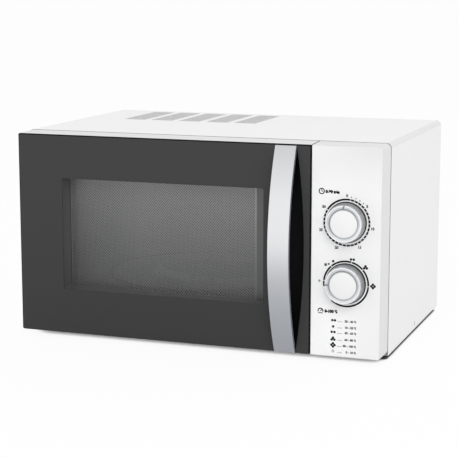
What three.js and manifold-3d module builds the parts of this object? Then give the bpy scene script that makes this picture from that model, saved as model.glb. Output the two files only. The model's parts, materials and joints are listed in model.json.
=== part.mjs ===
// A compact countertop microwave oven, built as the real one comes apart on a bench.
// Millimetres, +X to the right, +Y to the back, +Z up.
// Origin: on the worktop, under the middle of the oven's outer box.
import * as THREE from "three";
import { mergeGeometries, mergeVertices } from "three/addons/utils/BufferGeometryUtils.js";
import Module from "manifold-3d";

const wasm = await Module();
wasm.setup();

// ---- Driving dimensions -------------------------------------------------------------
const WIDTH = 452; // painted cabinet, side to side
const CABINET_DEPTH = 273; // cabinet wrap, front edge to back edge
const CABINET_HEIGHT = 245;
const FOOT_HEIGHT = 5;
const DOOR_THICKNESS = 34; // door and control panel alike
const HANDLE_BOW = 29; // how far the bowed handle stands out of the door
const SHEET = 1; // sheet steel
const GAP = 0.3; // between pieces that touch
const CABINET_CORNER = 6; // bend radius of the wrap

// Planes and edges that many pieces share.
const HALF = WIDTH / 2;
const BACK = (CABINET_DEPTH + DOOR_THICKNESS + HANDLE_BOW) / 2;
const SEAM = BACK - CABINET_DEPTH; // cabinet's front edge
const FACE = SEAM - DOOR_THICKNESS; // front of the door and of the panel
const TOP = FOOT_HEIGHT + CABINET_HEIGHT;
const INSIDE = HALF - SHEET - 0.4; // pieces that slip inside the wrap
const FRAME_BACK = SEAM + SHEET; // back of the front frame

// Door and panel: the joint between them, and how far they are inset from the cabinet.
const DOOR_X = [-HALF + 2.5, 142.7];
const PANEL_X = [143.5, HALF - 2.1];
const FRONT_Z = [FOOT_HEIGHT + 3.2, TOP - 1.4];
const DRAFT = { top: 1.2, foot: 1.6, side: 1.9 }; // how far they widen from the front to the seam
const PLASTIC = 2.5; // moulded wall
const PIVOT = [-HALF + 12, SEAM - 12]; // door hinge, x and y
const HINGE_SWEEP = 11.5; // radius the door's hinge edge turns inside

// Cooking chamber and turntable.
const CAVITY_X = [-202.5, 107.5];
const CAVITY_Y = [FRAME_BACK + GAP, 157];
const CAVITY_Z = [34, 232];
const FLOOR = CAVITY_Z[0];
const TURN = [(CAVITY_X[0] + CAVITY_X[1]) / 2, 26.6]; // turntable axis, x and y
const TRAY_RADIUS = 122.5;
const ROLLER_RADIUS = 7.2;
const ROLLER_TRACK = 92; // radius of the circle the rollers run on
const ROLLER_Z = FLOOR + GAP + ROLLER_RADIUS;
const TRAY_UNDER = FLOOR + 15;

// Window, grip pocket and handle.
const WINDOW_X = [-166.4, 86.5];
const WINDOW_Z = [62, 196.7];
const WINDOW_DEPTH = 22;
const GRIP_Z = [13, 244];
const GRIP_X = [100, 134.6]; // at its widest
const GRIP_ENDS = [120, 126]; // at its top and bottom
const GRIP_DEPTH = 13.5;
const HANDLE_X = [100.7, 125.5];
const HANDLE_Z = [8.7, 247];
const HANDLE_ARCH = [14, 242]; // between its two feet
const HANDLE_STRIP = 5;

// Dials, latch hooks, and the magnetron's axis.
const DIAL_X = 184.2;
const TIMER_Z = 163.4;
const POWER_Z = 93.6;
const KNOB_RADIUS = 22.3;
const KNOB_HEIGHT = 14.5;
const HOOKS_Z = [62, 195];
const HOOK_X = [125, 131];
const HOOK_TIP = SEAM + 17;
const ANTENNA = [60, 195]; // y and z
const FAN = [167, 150]; // x and z

// ---- Finishes -----------------------------------------------------------------------
function finish(color, roughness, metalness = 0, opacity = 1) {
  return () => new THREE.MeshStandardMaterial({
    color, roughness, metalness, opacity, transparent: opacity < 1,
  });
}
const whitePaint = finish(0xededed, 0.45);
const whitePlastic = finish(0xf1f1f1, 0.5);
const charcoal = finish(0x424242, 0.5);
const blackPlastic = finish(0x1a1a1b, 0.45);
const silver = finish(0xcfd1d4, 0.3, 0.8);
const satinWhite = finish(0xf0f1f2, 0.35);
const zincSteel = finish(0xb4b7ba, 0.4, 0.9);
const enamel = finish(0xc9cbca, 0.4);
const screenSteel = finish(0x55575a, 0.5, 0.6);
const clearGlass = finish(0xdfe9e8, 0.05, 0, 0.4);
const mica = finish(0xb9a98c, 0.6);
const copper = finish(0xb3683a, 0.35, 0.9);
const aluminium = finish(0xc6c8ca, 0.35, 0.9);
const laminations = finish(0x6a6c70, 0.55, 0.6);
const rubber = finish(0x202021, 0.85);
const paleNylon = finish(0xe7e5dd, 0.5);
const board = finish(0x7c6a43, 0.6);

// ---- Solid modelling helpers --------------------------------------------------------
function block([x0, x1], [y0, y1], [z0, z1]) {
  const box = new THREE.BoxGeometry(x1 - x0, y1 - y0, z1 - z0);
  return box.translate((x0 + x1) / 2, (y0 + y1) / 2, (z0 + z1) / 2);
}

// A rectangle with round corners, as a Shape or as a Path for a hole.
function rounded([a0, a1], [b0, b1], r, Kind = THREE.Shape) {
  const q = Math.PI / 2;
  const outline = new Kind();
  outline.absarc(a1 - r, b0 + r, r, -q, 0);
  outline.absarc(a1 - r, b1 - r, r, 0, q);
  outline.absarc(a0 + r, b1 - r, r, q, 2 * q);
  outline.absarc(a0 + r, b0 + r, r, 2 * q, 3 * q);
  return outline;
}

// An outline drawn in X and Z (Y), X and Y (Z) or Y and Z (X), thickened along that axis.
function slab(axis, shape, from, to, curveSegments = 4) {
  const depth = to - from;
  const body = new THREE.ExtrudeGeometry(shape, { depth, bevelEnabled: false, curveSegments });
  if (axis === "y") return body.rotateX(Math.PI / 2).translate(0, to, 0);
  if (axis === "z") return body.translate(0, 0, from);
  const turn = new THREE.Matrix4().makeBasis(
    new THREE.Vector3(0, 1, 0), new THREE.Vector3(0, 0, 1), new THREE.Vector3(1, 0, 0),
  );
  return body.applyMatrix4(turn).translate(from, 0, 0);
}

// A round bar along one axis; [u, v] are its other two coordinates.
function rod(axis, radius, [from, to], [u, v], sides = 20) {
  const bar = new THREE.CylinderGeometry(radius, radius, to - from, sides);
  const middle = (from + to) / 2;
  if (axis === "x") return bar.rotateZ(Math.PI / 2).translate(middle, u, v);
  if (axis === "z") return bar.rotateX(Math.PI / 2).translate(u, v, middle);
  return bar.translate(u, middle, v);
}

// A profile of [radius, height] turned round an axis; it runs from the low end to the high end.
function turned(axis, profile, [x, y, z], sides = 32) {
  const points = profile.map(([r, h]) => new THREE.Vector2(r, h));
  const body = new THREE.LatheGeometry(points, sides);
  if (axis === "+z") body.rotateX(Math.PI / 2);
  if (axis === "-y") body.rotateZ(Math.PI);
  if (axis === "-x") body.rotateZ(Math.PI / 2);
  return body.translate(x, y, z);
}

function solid(geometry) {
  const bare = geometry.clone();
  bare.deleteAttribute("normal");
  bare.deleteAttribute("uv");
  const merged = mergeVertices(bare, 1e-4);
  const corners = merged.index.array;
  const kept = [];
  for (let i = 0; i < corners.length; i += 3) {
    const [a, b, c] = corners.slice(i, i + 3);
    if (a !== b && b !== c && c !== a) kept.push(a, b, c);
  }
  return new wasm.Manifold(new wasm.Mesh({
    numProp: 3,
    vertProperties: merged.attributes.position.array,
    triVerts: new Uint32Array(kept),
  }));
}

function surface(body) {
  const mesh = body.getMesh();
  const geometry = new THREE.BufferGeometry();
  geometry.setAttribute("position", new THREE.BufferAttribute(mesh.vertProperties, 3));
  geometry.setIndex(new THREE.BufferAttribute(mesh.triVerts, 1));
  geometry.computeVertexNormals();
  return geometry;
}

const join = (first, ...more) => (
  surface(more.reduce((body, piece) => body.add(solid(piece)), solid(first)))
);
const cut = (base, ...tools) => (
  surface(tools.reduce((body, tool) => body.subtract(solid(tool)), solid(base)))
);

const around = (middle, half) => [middle - half, middle + half];
const grow = ([low, high], by) => [low - by, high + by];
const beyond = ([low, high]) => [low - 5, high + 5];

// The part's own group, and the way each piece joins it.
const group = new THREE.Group();
function piece(name, geometry, material) {
  const mesh = new THREE.Mesh(geometry, material());
  mesh.name = name;
  group.add(mesh);
}

// ---- Cabinet and chassis ------------------------------------------------------------
const VENTS = { groups: 5, slots: 13, left: -167.5, front: 51, step: 37.75, pitch: 8.1 };
const VENT_SLOT = [29, 3.6];

function ventSlots() {
  const slots = [];
  for (let g = 0; g < VENTS.groups; g += 1) {
    const x = VENTS.left + g * VENTS.step;
    for (let s = 0; s < VENTS.slots; s += 1) {
      const y = VENTS.front + s * VENTS.pitch;
      slots.push(block([x, x + VENT_SLOT[0]], [y, y + VENT_SLOT[1]], [TOP - 3, TOP + 3]));
    }
  }
  return mergeGeometries(slots);
}

function outerCabinet() {
  const q = Math.PI / 2;
  const r = CABINET_CORNER;
  const wrap = new THREE.Shape();
  wrap.absarc(-HALF + r, TOP - r, r - SHEET, 2 * q, q, true);
  wrap.absarc(HALF - r, TOP - r, r - SHEET, q, 0, true);
  wrap.lineTo(HALF - SHEET, FOOT_HEIGHT);
  wrap.lineTo(HALF, FOOT_HEIGHT);
  wrap.absarc(HALF - r, TOP - r, r, 0, q);
  wrap.absarc(-HALF + r, TOP - r, r, q, 2 * q);
  wrap.lineTo(-HALF, FOOT_HEIGHT);
  wrap.lineTo(-HALF + SHEET, FOOT_HEIGHT);
  const keySlot = block([HALF - 3, HALF + 3], around(34.8, 0.8), [9.4, 14.7]);
  return cut(slab("y", wrap, SEAM, BACK, 6), ventSlots(), keySlot);
}
piece("outer_cabinet", outerCabinet(), whitePaint);

function basePlate() {
  const low = FOOT_HEIGHT;
  const y = [FRAME_BACK + GAP, BACK - 2 - GAP];
  const tray = block([-INSIDE, INSIDE], y, [low, low + 8]);
  const hollow = block(grow([-INSIDE, INSIDE], -SHEET), grow(y, -SHEET), [low + SHEET, low + 20]);
  const inlets = [];
  for (let i = 0; i < 8; i += 1) {
    inlets.push(block([95, 165], [86 + i * 7, 89 + i * 7], [low - 2, low + 3]));
  }
  return cut(tray, hollow, mergeGeometries(inlets));
}
piece("base_plate", basePlate(), zincSteel);

for (const [name, x, y] of [
  ["foot_front_left", -190, SEAM + 22],
  ["foot_front_right", 190, SEAM + 22],
  ["foot_rear_left", -190, BACK - 30],
  ["foot_rear_right", 190, BACK - 30],
]) {
  const profile = [[0, 0], [12, 0], [13, 1], [13, FOOT_HEIGHT - GAP], [0, FOOT_HEIGHT - GAP]];
  piece(name, turned("+z", profile, [x, y, 0], 16), rubber);
}

// A panel that closes the wrap: square at the foot, round where it meets the wrap's bends.
function endPanel() {
  const q = Math.PI / 2;
  const [low, high, r] = [FOOT_HEIGHT + GAP, TOP - SHEET - GAP, CABINET_CORNER - SHEET];
  const outline = new THREE.Shape();
  outline.moveTo(-INSIDE, low);
  outline.lineTo(INSIDE, low);
  outline.absarc(INSIDE - r, high - r, r, 0, q);
  outline.absarc(-INSIDE + r, high - r, r, q, 2 * q);
  return outline;
}

const GLAND = [196, 42]; // cord inlet, x and z
function rearPanel() {
  const panel = slab("y", endPanel(), BACK - 2, BACK - 1);
  const grille = [];
  for (let i = 0; i < 9; i += 1) {
    const z = FAN[1] - 36 + i * 9;
    const half = Math.sqrt(42 ** 2 - (z - FAN[1]) ** 2);
    grille.push(block(around(FAN[0], half), [BACK - 5, BACK + 5], around(z, 2.2)));
  }
  const inlet = rod("y", 7.4, [BACK - 5, BACK + 5], GLAND);
  return cut(panel, mergeGeometries(grille), inlet);
}
piece("rear_panel", rearPanel(), zincSteel);

// The bush that the mains lead would come through.
const glandProfile = [
  [4, -6], [7, -6], [7, 0.4], [10, 0.4], [10, 1], [4, 1], [4, -6],
];
piece("cord_gland", turned("+y", glandProfile, [GLAND[0], BACK - 1, GLAND[1]], 16), blackPlastic);

// Slots that let the two latch hooks through, with room to lift and to swing.
function hookSlots(y) {
  return mergeGeometries(HOOKS_Z.map((z) => block([124, 132.5], y, [z - 10, z + 10])));
}

const HINGE_TABS = [[241.5, 243.5], [13.5, 15.5]];
function frontFrame() {
  const plate = slab("y", endPanel(), SEAM, FRAME_BACK);
  const through = [SEAM - 5, SEAM + 5];
  const mouth = block(CAVITY_X, through, CAVITY_Z);
  const bushes = mergeGeometries([TIMER_Z, POWER_Z].map((z) => rod("y", 7, through, [DIAL_X, z])));
  const tabs = mergeGeometries(HINGE_TABS.map((z) => (
    block(around(PIVOT[0], 6.5), through, grow(z, GAP))
  )));
  return cut(plate, mouth, bushes, tabs, hookSlots(through));
}
piece("front_frame", frontFrame(), zincSteel);

// Small hexagonal holes in a grid through a side wall of the cooking chamber.
function perforation([x0, x1], [y, z], [across, up]) {
  const holes = [];
  for (let i = 0; i < across; i += 1) {
    for (let j = 0; j < up; j += 1) {
      holes.push(rod("x", 2, [x0, x1], [y + i * 7, z + j * 7], 6));
    }
  }
  return mergeGeometries(holes);
}

function ovenCavity() {
  const shell = block(grow(CAVITY_X, SHEET), [CAVITY_Y[0], CAVITY_Y[1] + SHEET], grow(CAVITY_Z, SHEET));
  const room = block(CAVITY_X, [CAVITY_Y[0] - 5, CAVITY_Y[1]], CAVITY_Z);
  const feed = block(beyond([CAVITY_X[1], CAVITY_X[1]]), [30, 90], [124, 184]);
  const lampGrille = perforation(beyond([CAVITY_X[1], CAVITY_X[1]]), [-43, 196], [3, 3]);
  const exhaust = perforation(beyond([CAVITY_X[0], CAVITY_X[0]]), [112, 192], [4, 3]);
  const shaft = rod("z", 6, [FLOOR - 5, FLOOR + 5], TURN, 16);
  return cut(shell, room, feed, lampGrille, exhaust, shaft);
}
piece("oven_cavity", ovenCavity(), enamel);

// ---- Hinges -------------------------------------------------------------------------
// A steel tab that comes through the frame, with the pin that the door turns on.
function hinge([z0, z1], pinZ, footZ) {
  const [x, y] = PIVOT;
  const tab = join(
    block(around(x, 6), [y, FRAME_BACK + 1.8], [z0, z1]),
    rod("z", 6, [z0, z1], PIVOT, 16),
    rod("z", 2.5, pinZ, PIVOT, 16),
    block(around(x, 6), [FRAME_BACK + GAP, FRAME_BACK + 1.8], footZ),
  );
  return tab;
}
piece("hinge_upper", hinge(HINGE_TABS[0], [242, 245.8], [226, 243.5]), zincSteel);
piece("hinge_lower", hinge(HINGE_TABS[1], [11, 15], [13.5, 31]), zincSteel);

// ---- Door ---------------------------------------------------------------------------
// Widens a moulding evenly from its front to the seam, where it lies flush with the cabinet.
function drafted(geometry, flaredSide = false) {
  const corner = geometry.attributes.position;
  const level = (FRONT_Z[0] + FRONT_Z[1]) / 2;
  for (let i = 0; i < corner.count; i += 1) {
    const share = (corner.getY(i) - FACE) / DOOR_THICKNESS;
    const rise = corner.getZ(i) > level ? DRAFT.top : -DRAFT.foot;
    corner.setZ(i, corner.getZ(i) + share * rise);
    if (flaredSide && corner.getX(i) > DIAL_X) corner.setX(i, corner.getX(i) + share * DRAFT.side);
  }
  return geometry;
}

// White moulded rim. Its hinge edge is rounded about the pin, so it turns clear of the cabinet.
function doorFrame() {
  const [x, y] = PIVOT;
  const [left, right] = DOOR_X;
  const [front, back] = [FACE + PLASTIC + GAP, SEAM - 1];
  const start = Math.PI - Math.asin(Math.sqrt(1 - ((left - x) / HINGE_SWEEP) ** 2));
  const end = Math.asin((back - y) / HINGE_SWEEP);
  const outline = new THREE.Shape();
  outline.moveTo(left, front);
  outline.lineTo(right, front);
  outline.lineTo(right, back);
  outline.absarc(x, y, HINGE_SWEEP, Math.PI - end, start);
  const [low, high] = FRONT_Z;
  const inner = grow(FRONT_Z, -PLASTIC);
  const rim = cut(
    drafted(slab("z", outline, low, high, 8)),
    block(grow(DOOR_X, -PLASTIC), beyond([front, back]), inner),
    block([left - 1, left + 3], [y - 9, back + 1], [240.8, 244.2]),
    block([left - 1, left + 3], [y - 9, back + 1], [12.8, 16.2]),
  );
  const bosses = [[244.1, high - 1], [low + 1, 12.9]].map((z) => rod("z", 5, z, PIVOT, 16));
  const bores = [[244, inner[1]], [inner[0], 13]].map((z) => rod("z", 2.8, z, PIVOT, 16));
  return cut(join(rim, ...bosses), ...bores);
}
piece("door_frame", doorFrame(), whitePlastic);

// The pocket behind the handle: its two sides bow out from a narrow top and bottom.
function gripOutline(by) {
  const middle = (GRIP_Z[0] + GRIP_Z[1]) / 2;
  const half = (GRIP_Z[1] - GRIP_Z[0]) / 2;
  const side = (edge, end, facing) => {
    const bulge = Math.abs(edge - end);
    const radius = (half ** 2 + bulge ** 2) / (2 * bulge);
    const sweep = Math.asin((half + by) / (radius + by));
    const centre = edge - Math.cos(facing) * radius;
    return [centre, middle, radius + by, facing - sweep, facing + sweep];
  };
  const outline = new THREE.Shape();
  outline.absarc(...side(GRIP_X[1], GRIP_ENDS[1], 0));
  outline.absarc(...side(GRIP_X[0], GRIP_ENDS[0], Math.PI));
  return outline;
}

function doorFront() {
  const wall = 1.5;
  const behind = FACE + PLASTIC - 0.5;
  const plate = slab("y", rounded(DOOR_X, FRONT_Z, 2), FACE, FACE + PLASTIC);
  const tunnel = rounded(grow(WINDOW_X, wall), grow(WINDOW_Z, wall), 4.5);
  const springSeat = block([122, 134], [behind, FACE + 22], [227, 229]);
  const body = join(
    plate,
    slab("y", tunnel, behind, FACE + WINDOW_DEPTH),
    slab("y", gripOutline(wall), behind, FACE + GRIP_DEPTH + wall, 10),
    springSeat,
  );
  return cut(
    body,
    slab("y", rounded(WINDOW_X, WINDOW_Z, 3), FACE - 5, FACE + WINDOW_DEPTH + 5),
    slab("y", gripOutline(0), FACE - 5, FACE + GRIP_DEPTH, 10),
  );
}
piece("door_front", doorFront(), charcoal);

const screenY = FACE + WINDOW_DEPTH + GAP;
piece("door_screen", block([-176, 96], [screenY, screenY + 0.8], [52, 206.7]), screenSteel);
piece("window_film", block([-172, 92], [screenY + 1.1, screenY + 1.6], [56, 203]), clearGlass);

// Folded steel pan that carries the screen and makes the choke round the chamber's mouth.
function doorPan() {
  const x = [PIVOT[0], 137];
  const z = [20, 237];
  const [front, back] = [screenY + 1.9, SEAM - 3.3];
  const pan = slab("y", rounded(x, z, 4), front, back);
  const well = slab("y", rounded(grow(x, -SHEET), grow(z, -SHEET), 3), front + SHEET, back + 5);
  const opening = block([-168, 88], [front - 5, back + 5], [60, 199]);
  return cut(pan, well, opening, hookSlots([front - 5, back + 5]));
}
piece("door_pan", doorPan(), zincSteel);

function chokeCover() {
  const y = [SEAM - 3, SEAM - 1.2];
  const plate = slab("y", rounded([PIVOT[0] - 2, 139], [18, 239], 5), ...y);
  return cut(plate, block([-172, 92], beyond(y), [56, 203]), hookSlots(beyond(y)));
}
piece("choke_cover", chokeCover(), blackPlastic);

// A bowed strip on two feet; its ends run out flush with the top and bottom of the door.
function doorHandle() {
  const middle = (HANDLE_Z[0] + HANDLE_Z[1]) / 2;
  const half = (HANDLE_Z[1] - HANDLE_Z[0]) / 2;
  const endY = FACE - 1.5;
  const bow = HANDLE_BOW - 1.5;
  const radius = (half ** 2 + bow ** 2) / (2 * bow);
  const sweep = Math.asin(half / radius);
  const centre = endY - bow + radius;
  const outer = new THREE.Shape();
  outer.absarc(centre, middle, radius, Math.PI - sweep, Math.PI + sweep);
  outer.lineTo(FACE - GAP, HANDLE_Z[0]);
  outer.lineTo(FACE - GAP, HANDLE_Z[1]);
  const inner = new THREE.Shape();
  const thin = radius - HANDLE_STRIP;
  const reach = Math.asin((HANDLE_ARCH[1] - middle) / thin);
  inner.absarc(centre, middle, thin, Math.PI - reach, Math.PI + reach);
  inner.lineTo(FACE + 5, HANDLE_ARCH[0]);
  inner.lineTo(FACE + 5, HANDLE_ARCH[1]);
  return cut(
    slab("x", outer, HANDLE_X[0], HANDLE_X[1], 28),
    slab("x", inner, HANDLE_X[0] - 5, HANDLE_X[1] + 5, 22),
  );
}
piece("door_handle", doorHandle(), silver);

// Two hooks on one bar. The spring holds the bar down; the hooks ride up as the door shuts.
const LATCH_BAR = { x: [124.5, 131.5], y: [FACE + 16.2, FACE + 21.2], z: [45, 212] };
function doorLatch() {
  const pieces = HOOKS_Z.flatMap((z) => [
    block(HOOK_X, [LATCH_BAR.y[1] - 1, HOOK_TIP], around(z, 5)),
    block(HOOK_X, [HOOK_TIP - 6, HOOK_TIP], [z - 9, z - 4]),
  ]);
  return join(block(LATCH_BAR.x, LATCH_BAR.y, LATCH_BAR.z), ...pieces);
}
piece("door_latch", doorLatch(), paleNylon);

class Coil extends THREE.Curve {
  constructor(centre, radius, [low, high], turns) {
    super();
    Object.assign(this, { centre, radius, low, high, turns });
  }

  getPoint(t) {
    const angle = 2 * Math.PI * this.turns * t;
    const [x, y] = this.centre;
    const z = this.low + (this.high - this.low) * t;
    return new THREE.Vector3(x + this.radius * Math.cos(angle), y + this.radius * Math.sin(angle), z);
  }
}

const SPRING = { radius: 2.6, wire: 0.45, z: [213, 226], turns: 4 };
function latchSpring() {
  const wire = new THREE.Shape();
  wire.absarc(0, 0, SPRING.wire, 0, 2 * Math.PI);
  const centre = [128, FACE + 18.7];
  const path = new Coil(centre, SPRING.radius, SPRING.z, SPRING.turns);
  return new THREE.ExtrudeGeometry(wire, { extrudePath: path, steps: 36, curveSegments: 3 });
}
piece("latch_spring", latchSpring(), zincSteel);

// ---- Interlock behind the frame -----------------------------------------------------
const BOARD_X = [110, 141];
function latchBoard() {
  const y = [FRAME_BACK + GAP, FRAME_BACK + 34];
  const z = [40, 216];
  const channel = block(BOARD_X, y, z);
  const hollow = block(grow(BOARD_X, -2), [y[0] + PLASTIC, y[1] + 5], beyond(z));
  return cut(channel, hollow, hookSlots([y[0] - 5, y[0] + 5]));
}
piece("latch_board", latchBoard(), paleNylon);

// A snap switch with its button facing the hook.
function snapSwitch(x, zMiddle) {
  const y = [HOOK_TIP + 1.5, HOOK_TIP + 17.5];
  return join(
    block(x, y, around(zMiddle, 14)),
    block(around((x[0] + x[1]) / 2, 1.5), [y[0] - 1, y[0] + 1], around(zMiddle + 4, 2)),
  );
}
piece("door_switch_upper", snapSwitch([123, 133], HOOKS_Z[1]), blackPlastic);
piece("door_switch_lower", snapSwitch([126.5, 136.5], HOOKS_Z[0]), blackPlastic);
piece("monitor_switch", snapSwitch([115, 125], HOOKS_Z[0]), blackPlastic);

// ---- Control panel, dials and what they turn ----------------------------------------
function controlPanel() {
  const y = [FACE, SEAM - 0.5];
  const shell = drafted(slab("y", rounded(PANEL_X, FRONT_Z, 2), ...y), true);
  const hollow = block(grow(PANEL_X, -PLASTIC), [FACE + PLASTIC, SEAM + 5], grow(FRONT_Z, -PLASTIC));
  const holes = [TIMER_Z, POWER_Z].map((z) => rod("y", 6, beyond([FACE, FACE]), [DIAL_X, z]));
  return cut(shell, hollow, ...holes);
}
piece("control_panel", controlPanel(), whitePlastic);

// Drum with a bright rim, a groove and a flat cap; a notch in the rim marks its direction.
function knob(z, notch) {
  const high = KNOB_HEIGHT;
  const drum = turned("-y", [
    [0, 0.6], [KNOB_RADIUS, 0.6], [KNOB_RADIUS - 0.6, 3], [20.7, high - 1], [20, high],
    [18.6, high], [18.2, high - 1.2], [16.4, high - 1.2], [16, high - 0.4], [0, high - 0.4],
  ], [DIAL_X, FACE, z], 32);
  const boss = rod("y", 4.8, [FACE - 4, FACE + 4], [DIAL_X, z]);
  const socket = rod("y", 3.3, [FACE - 10.3, FACE + 5], [DIAL_X, z]);
  const mark = block([-1, 1], [-high - 1, -high + 1.5], [17, 24]);
  mark.rotateY(notch).translate(DIAL_X, FACE, z);
  return cut(join(drum, boss), socket, mark);
}
piece("timer_knob", knob(TIMER_Z, 0), satinWhite);
piece("power_knob", knob(POWER_Z, -Math.PI / 2), satinWhite);
piece("timer_shaft", rod("y", 3, [FACE - 10, FACE + 48], [DIAL_X, TIMER_Z]), zincSteel);
piece("power_shaft", rod("y", 3, [FACE - 10, FACE + 48], [DIAL_X, POWER_Z]), zincSteel);

// A switch block behind the frame, with the threaded bush that its shaft turns in.
function dialUnit(x, y, z, axisZ) {
  const body = block(x, [FRAME_BACK + GAP, y], z);
  const bush = rod("y", 6, [FACE + 21, FRAME_BACK + 2], [DIAL_X, axisZ]);
  const bore = rod("y", 3.3, [FACE + 15, FACE + 52], [DIAL_X, axisZ]);
  return cut(join(body, bush), bore);
}
piece("timer_unit", dialUnit([158, 210], -60, [138, 189], TIMER_Z), paleNylon);
piece("power_selector", dialUnit([162, 206], -70, [72, 115], POWER_Z), paleNylon);

const bellProfile = [[0, 0], [4, 0], [4, 7], [19, 4], [21, 0], [22, 0], [20, 6], [4, 9], [0, 9]];
piece("timer_bell", turned("+y", bellProfile, [DIAL_X, -60 + GAP, TIMER_Z], 16), zincSteel);

// ---- Microwave supply ---------------------------------------------------------------
function waveguide() {
  const x = [CAVITY_X[1] + SHEET + GAP, 148.7];
  const [y, z] = [[22, 98], [118, 228]];
  const duct = block(x, y, z);
  const hollow = block([x[0] - 5, x[1] - SHEET], grow(y, -SHEET), grow(z, -SHEET));
  return cut(duct, hollow, rod("x", 12, [x[1] - 5, x[1] + 5], ANTENNA, 16));
}
piece("waveguide", waveguide(), zincSteel);
piece("waveguide_cover", block([CAVITY_X[1] - 0.9, CAVITY_X[1] - GAP], [26, 94], [120, 188]), mica);

const YOKE = { x: [149.1, 194], y: [20, 100], z: [160, 230] };
function magnetronYoke() {
  const wall = 1.5;
  const tube = block(YOKE.x, YOKE.y, YOKE.z);
  const inside = block(grow(YOKE.x, -wall), beyond(YOKE.y), grow(YOKE.z, -wall));
  return cut(tube, inside, rod("x", 12, beyond([YOKE.x[0], YOKE.x[0]]), ANTENNA, 16));
}
piece("magnetron_yoke", magnetronYoke(), zincSteel);

function magnetronCore() {
  const fins = [];
  for (let i = 0; i < 4; i += 1) {
    const x = 157 + i * 9;
    fins.push(block([x, x + 1.2], [28, 92], [164, 226]));
  }
  return join(rod("x", 17, [151.6, 191.5], ANTENNA, 16), ...fins);
}
piece("magnetron_core", magnetronCore(), aluminium);
const antennaProfile = [[0, 0], [9, 0], [9, 20], [7, 25], [3, 28], [0, 28]];
piece("magnetron_antenna", turned("-x", antennaProfile, [151, ...ANTENNA], 16), copper);
piece("magnetron_filter", block([194.3, 222], [30, 90], [165, 225]), zincSteel);

const LEG_X = [153, 183]; // the middle leg of the transformer's core
const CORE_Y = [-30, 20];
function transformerCore() {
  const stack = rounded([124, 212], [6.6, 80.6], 1);
  for (const x of [[139, LEG_X[0]], [LEG_X[1], 197]]) {
    stack.holes.push(rounded(x, [21.6, 65.6], 0.5, THREE.Path));
  }
  return slab("y", stack, ...CORE_Y, 1);
}
piece("transformer_core", transformerCore(), laminations);

function transformerWinding() {
  const turns = rounded([139.7, 196.3], grow(CORE_Y, 13.3), 6);
  turns.holes.push(rounded(grow(LEG_X, 0.7), grow(CORE_Y, 0.7), 0.5, THREE.Path));
  return slab("z", turns, 22.2, 65);
}
piece("transformer_winding", transformerWinding(), copper);

const CAN_X = [114, 146];
const CAN_Z = [10, 62];
function hvCapacitor() {
  const can = slab("y", rounded(CAN_X, CAN_Z, 15.9), 50, 140);
  const tags = [24, 48].map((z) => rod("y", 3, [42, 52], [130, z], 10));
  return join(can, ...tags);
}
piece("hv_capacitor", hvCapacitor(), aluminium);

function capacitorStrap() {
  const y = [88, 100];
  const band = join(
    slab("y", rounded(grow(CAN_X, 1.4), grow(CAN_Z, 1.4), 17.2), ...y),
    block([134, 158], y, [6.4, 7.6]),
    block([134, 140], y, [6.4, 10]),
  );
  return cut(band, slab("y", rounded(grow(CAN_X, 0.4), grow(CAN_Z, 0.4), 16.2), ...beyond(y)));
}
piece("capacitor_strap", capacitorStrap(), zincSteel);
piece("hv_diode", rod("y", 3, [44, 68], [158, 14], 14), blackPlastic);

function mainsFilter() {
  return join(
    block([164, 219], [52, 112], [14, 15.6]),
    rod("z", 11, [15, 34], [182, 72], 20),
    block([198, 214], [60, 78], [15, 30]),
    rod("x", 3, [172, 204], [98, 19.5], 12),
    block([170, 174], [94, 102], [15, 23]),
    block([202, 206], [94, 102], [15, 23]),
  );
}
piece("mains_filter", mainsFilter(), board);
piece("thermal_cutout", rod("z", 8, [CAVITY_Z[1] + SHEET + GAP, 244], [60, 60], 20), blackPlastic);

// ---- Cooling fan --------------------------------------------------------------------
const SHROUD_Y = [120, 122];
function fanShroud() {
  const plate = block([111, 223], SHROUD_Y, [68, 236]);
  const collar = rod("y", 49.5, [SHROUD_Y[0], 146], FAN, 24);
  return cut(join(plate, collar), rod("y", 47.5, beyond([SHROUD_Y[0], 146]), FAN, 24));
}
piece("fan_shroud", fanShroud(), blackPlastic);

const MOTOR_Y = [150, BACK - 2 - GAP];
function fanMotor() {
  return join(
    block(around(FAN[0], 30), MOTOR_Y, [FAN[1] - 38, FAN[1] + 26]),
    rod("y", 10, [147.5, MOTOR_Y[0] + 1], FAN),
    rod("y", 2.4, [130, MOTOR_Y[0] + 1], FAN, 12),
  );
}
piece("fan_motor", fanMotor(), laminations);

function fanBlade() {
  const vanes = [];
  for (let i = 0; i < 5; i += 1) {
    const vane = block([9, 44], [-0.8, 0.8], [-11, 11]);
    vane.rotateX(0.55).translate(0, 136, 0);
    vane.rotateY((i * 2 * Math.PI) / 5).translate(FAN[0], 0, FAN[1]);
    vanes.push(vane);
  }
  const hub = rod("y", 12, [128, 146.5], FAN, 16);
  return cut(join(hub, ...vanes), rod("y", 2.8, [129, 150], FAN, 12));
}
piece("fan_blade", fanBlade(), blackPlastic);

function airDuct() {
  const y = [-26, YOKE.y[0] - GAP];
  return cut(block(YOKE.x, y, YOKE.z), block(grow(YOKE.x, -1.5), beyond(y), grow(YOKE.z, -1.5)));
}
piece("air_duct", airDuct(), blackPlastic);

// ---- Chamber lamp -------------------------------------------------------------------
piece("lamp_holder", block([128, 140], [-55, -15], [185, 225]), paleNylon);
const bulbProfile = [[0, 0], [5, 0], [6, 3], [10, 7], [10, 11], [6, 15.5], [0, 16.5]];
piece("oven_lamp", turned("-x", bulbProfile, [127.7, -35, 205], 20), clearGlass);

// ---- Turntable ----------------------------------------------------------------------
const at = (z) => [...TURN, z];
function turntableMotor() {
  const can = rod("z", 25, [17, FLOOR - SHEET - GAP], TURN, 24);
  return join(can, rod("z", 3.5, [FLOOR - 3, FLOOR + 7], TURN, 16));
}
piece("turntable_motor", turntableMotor(), zincSteel);

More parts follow.
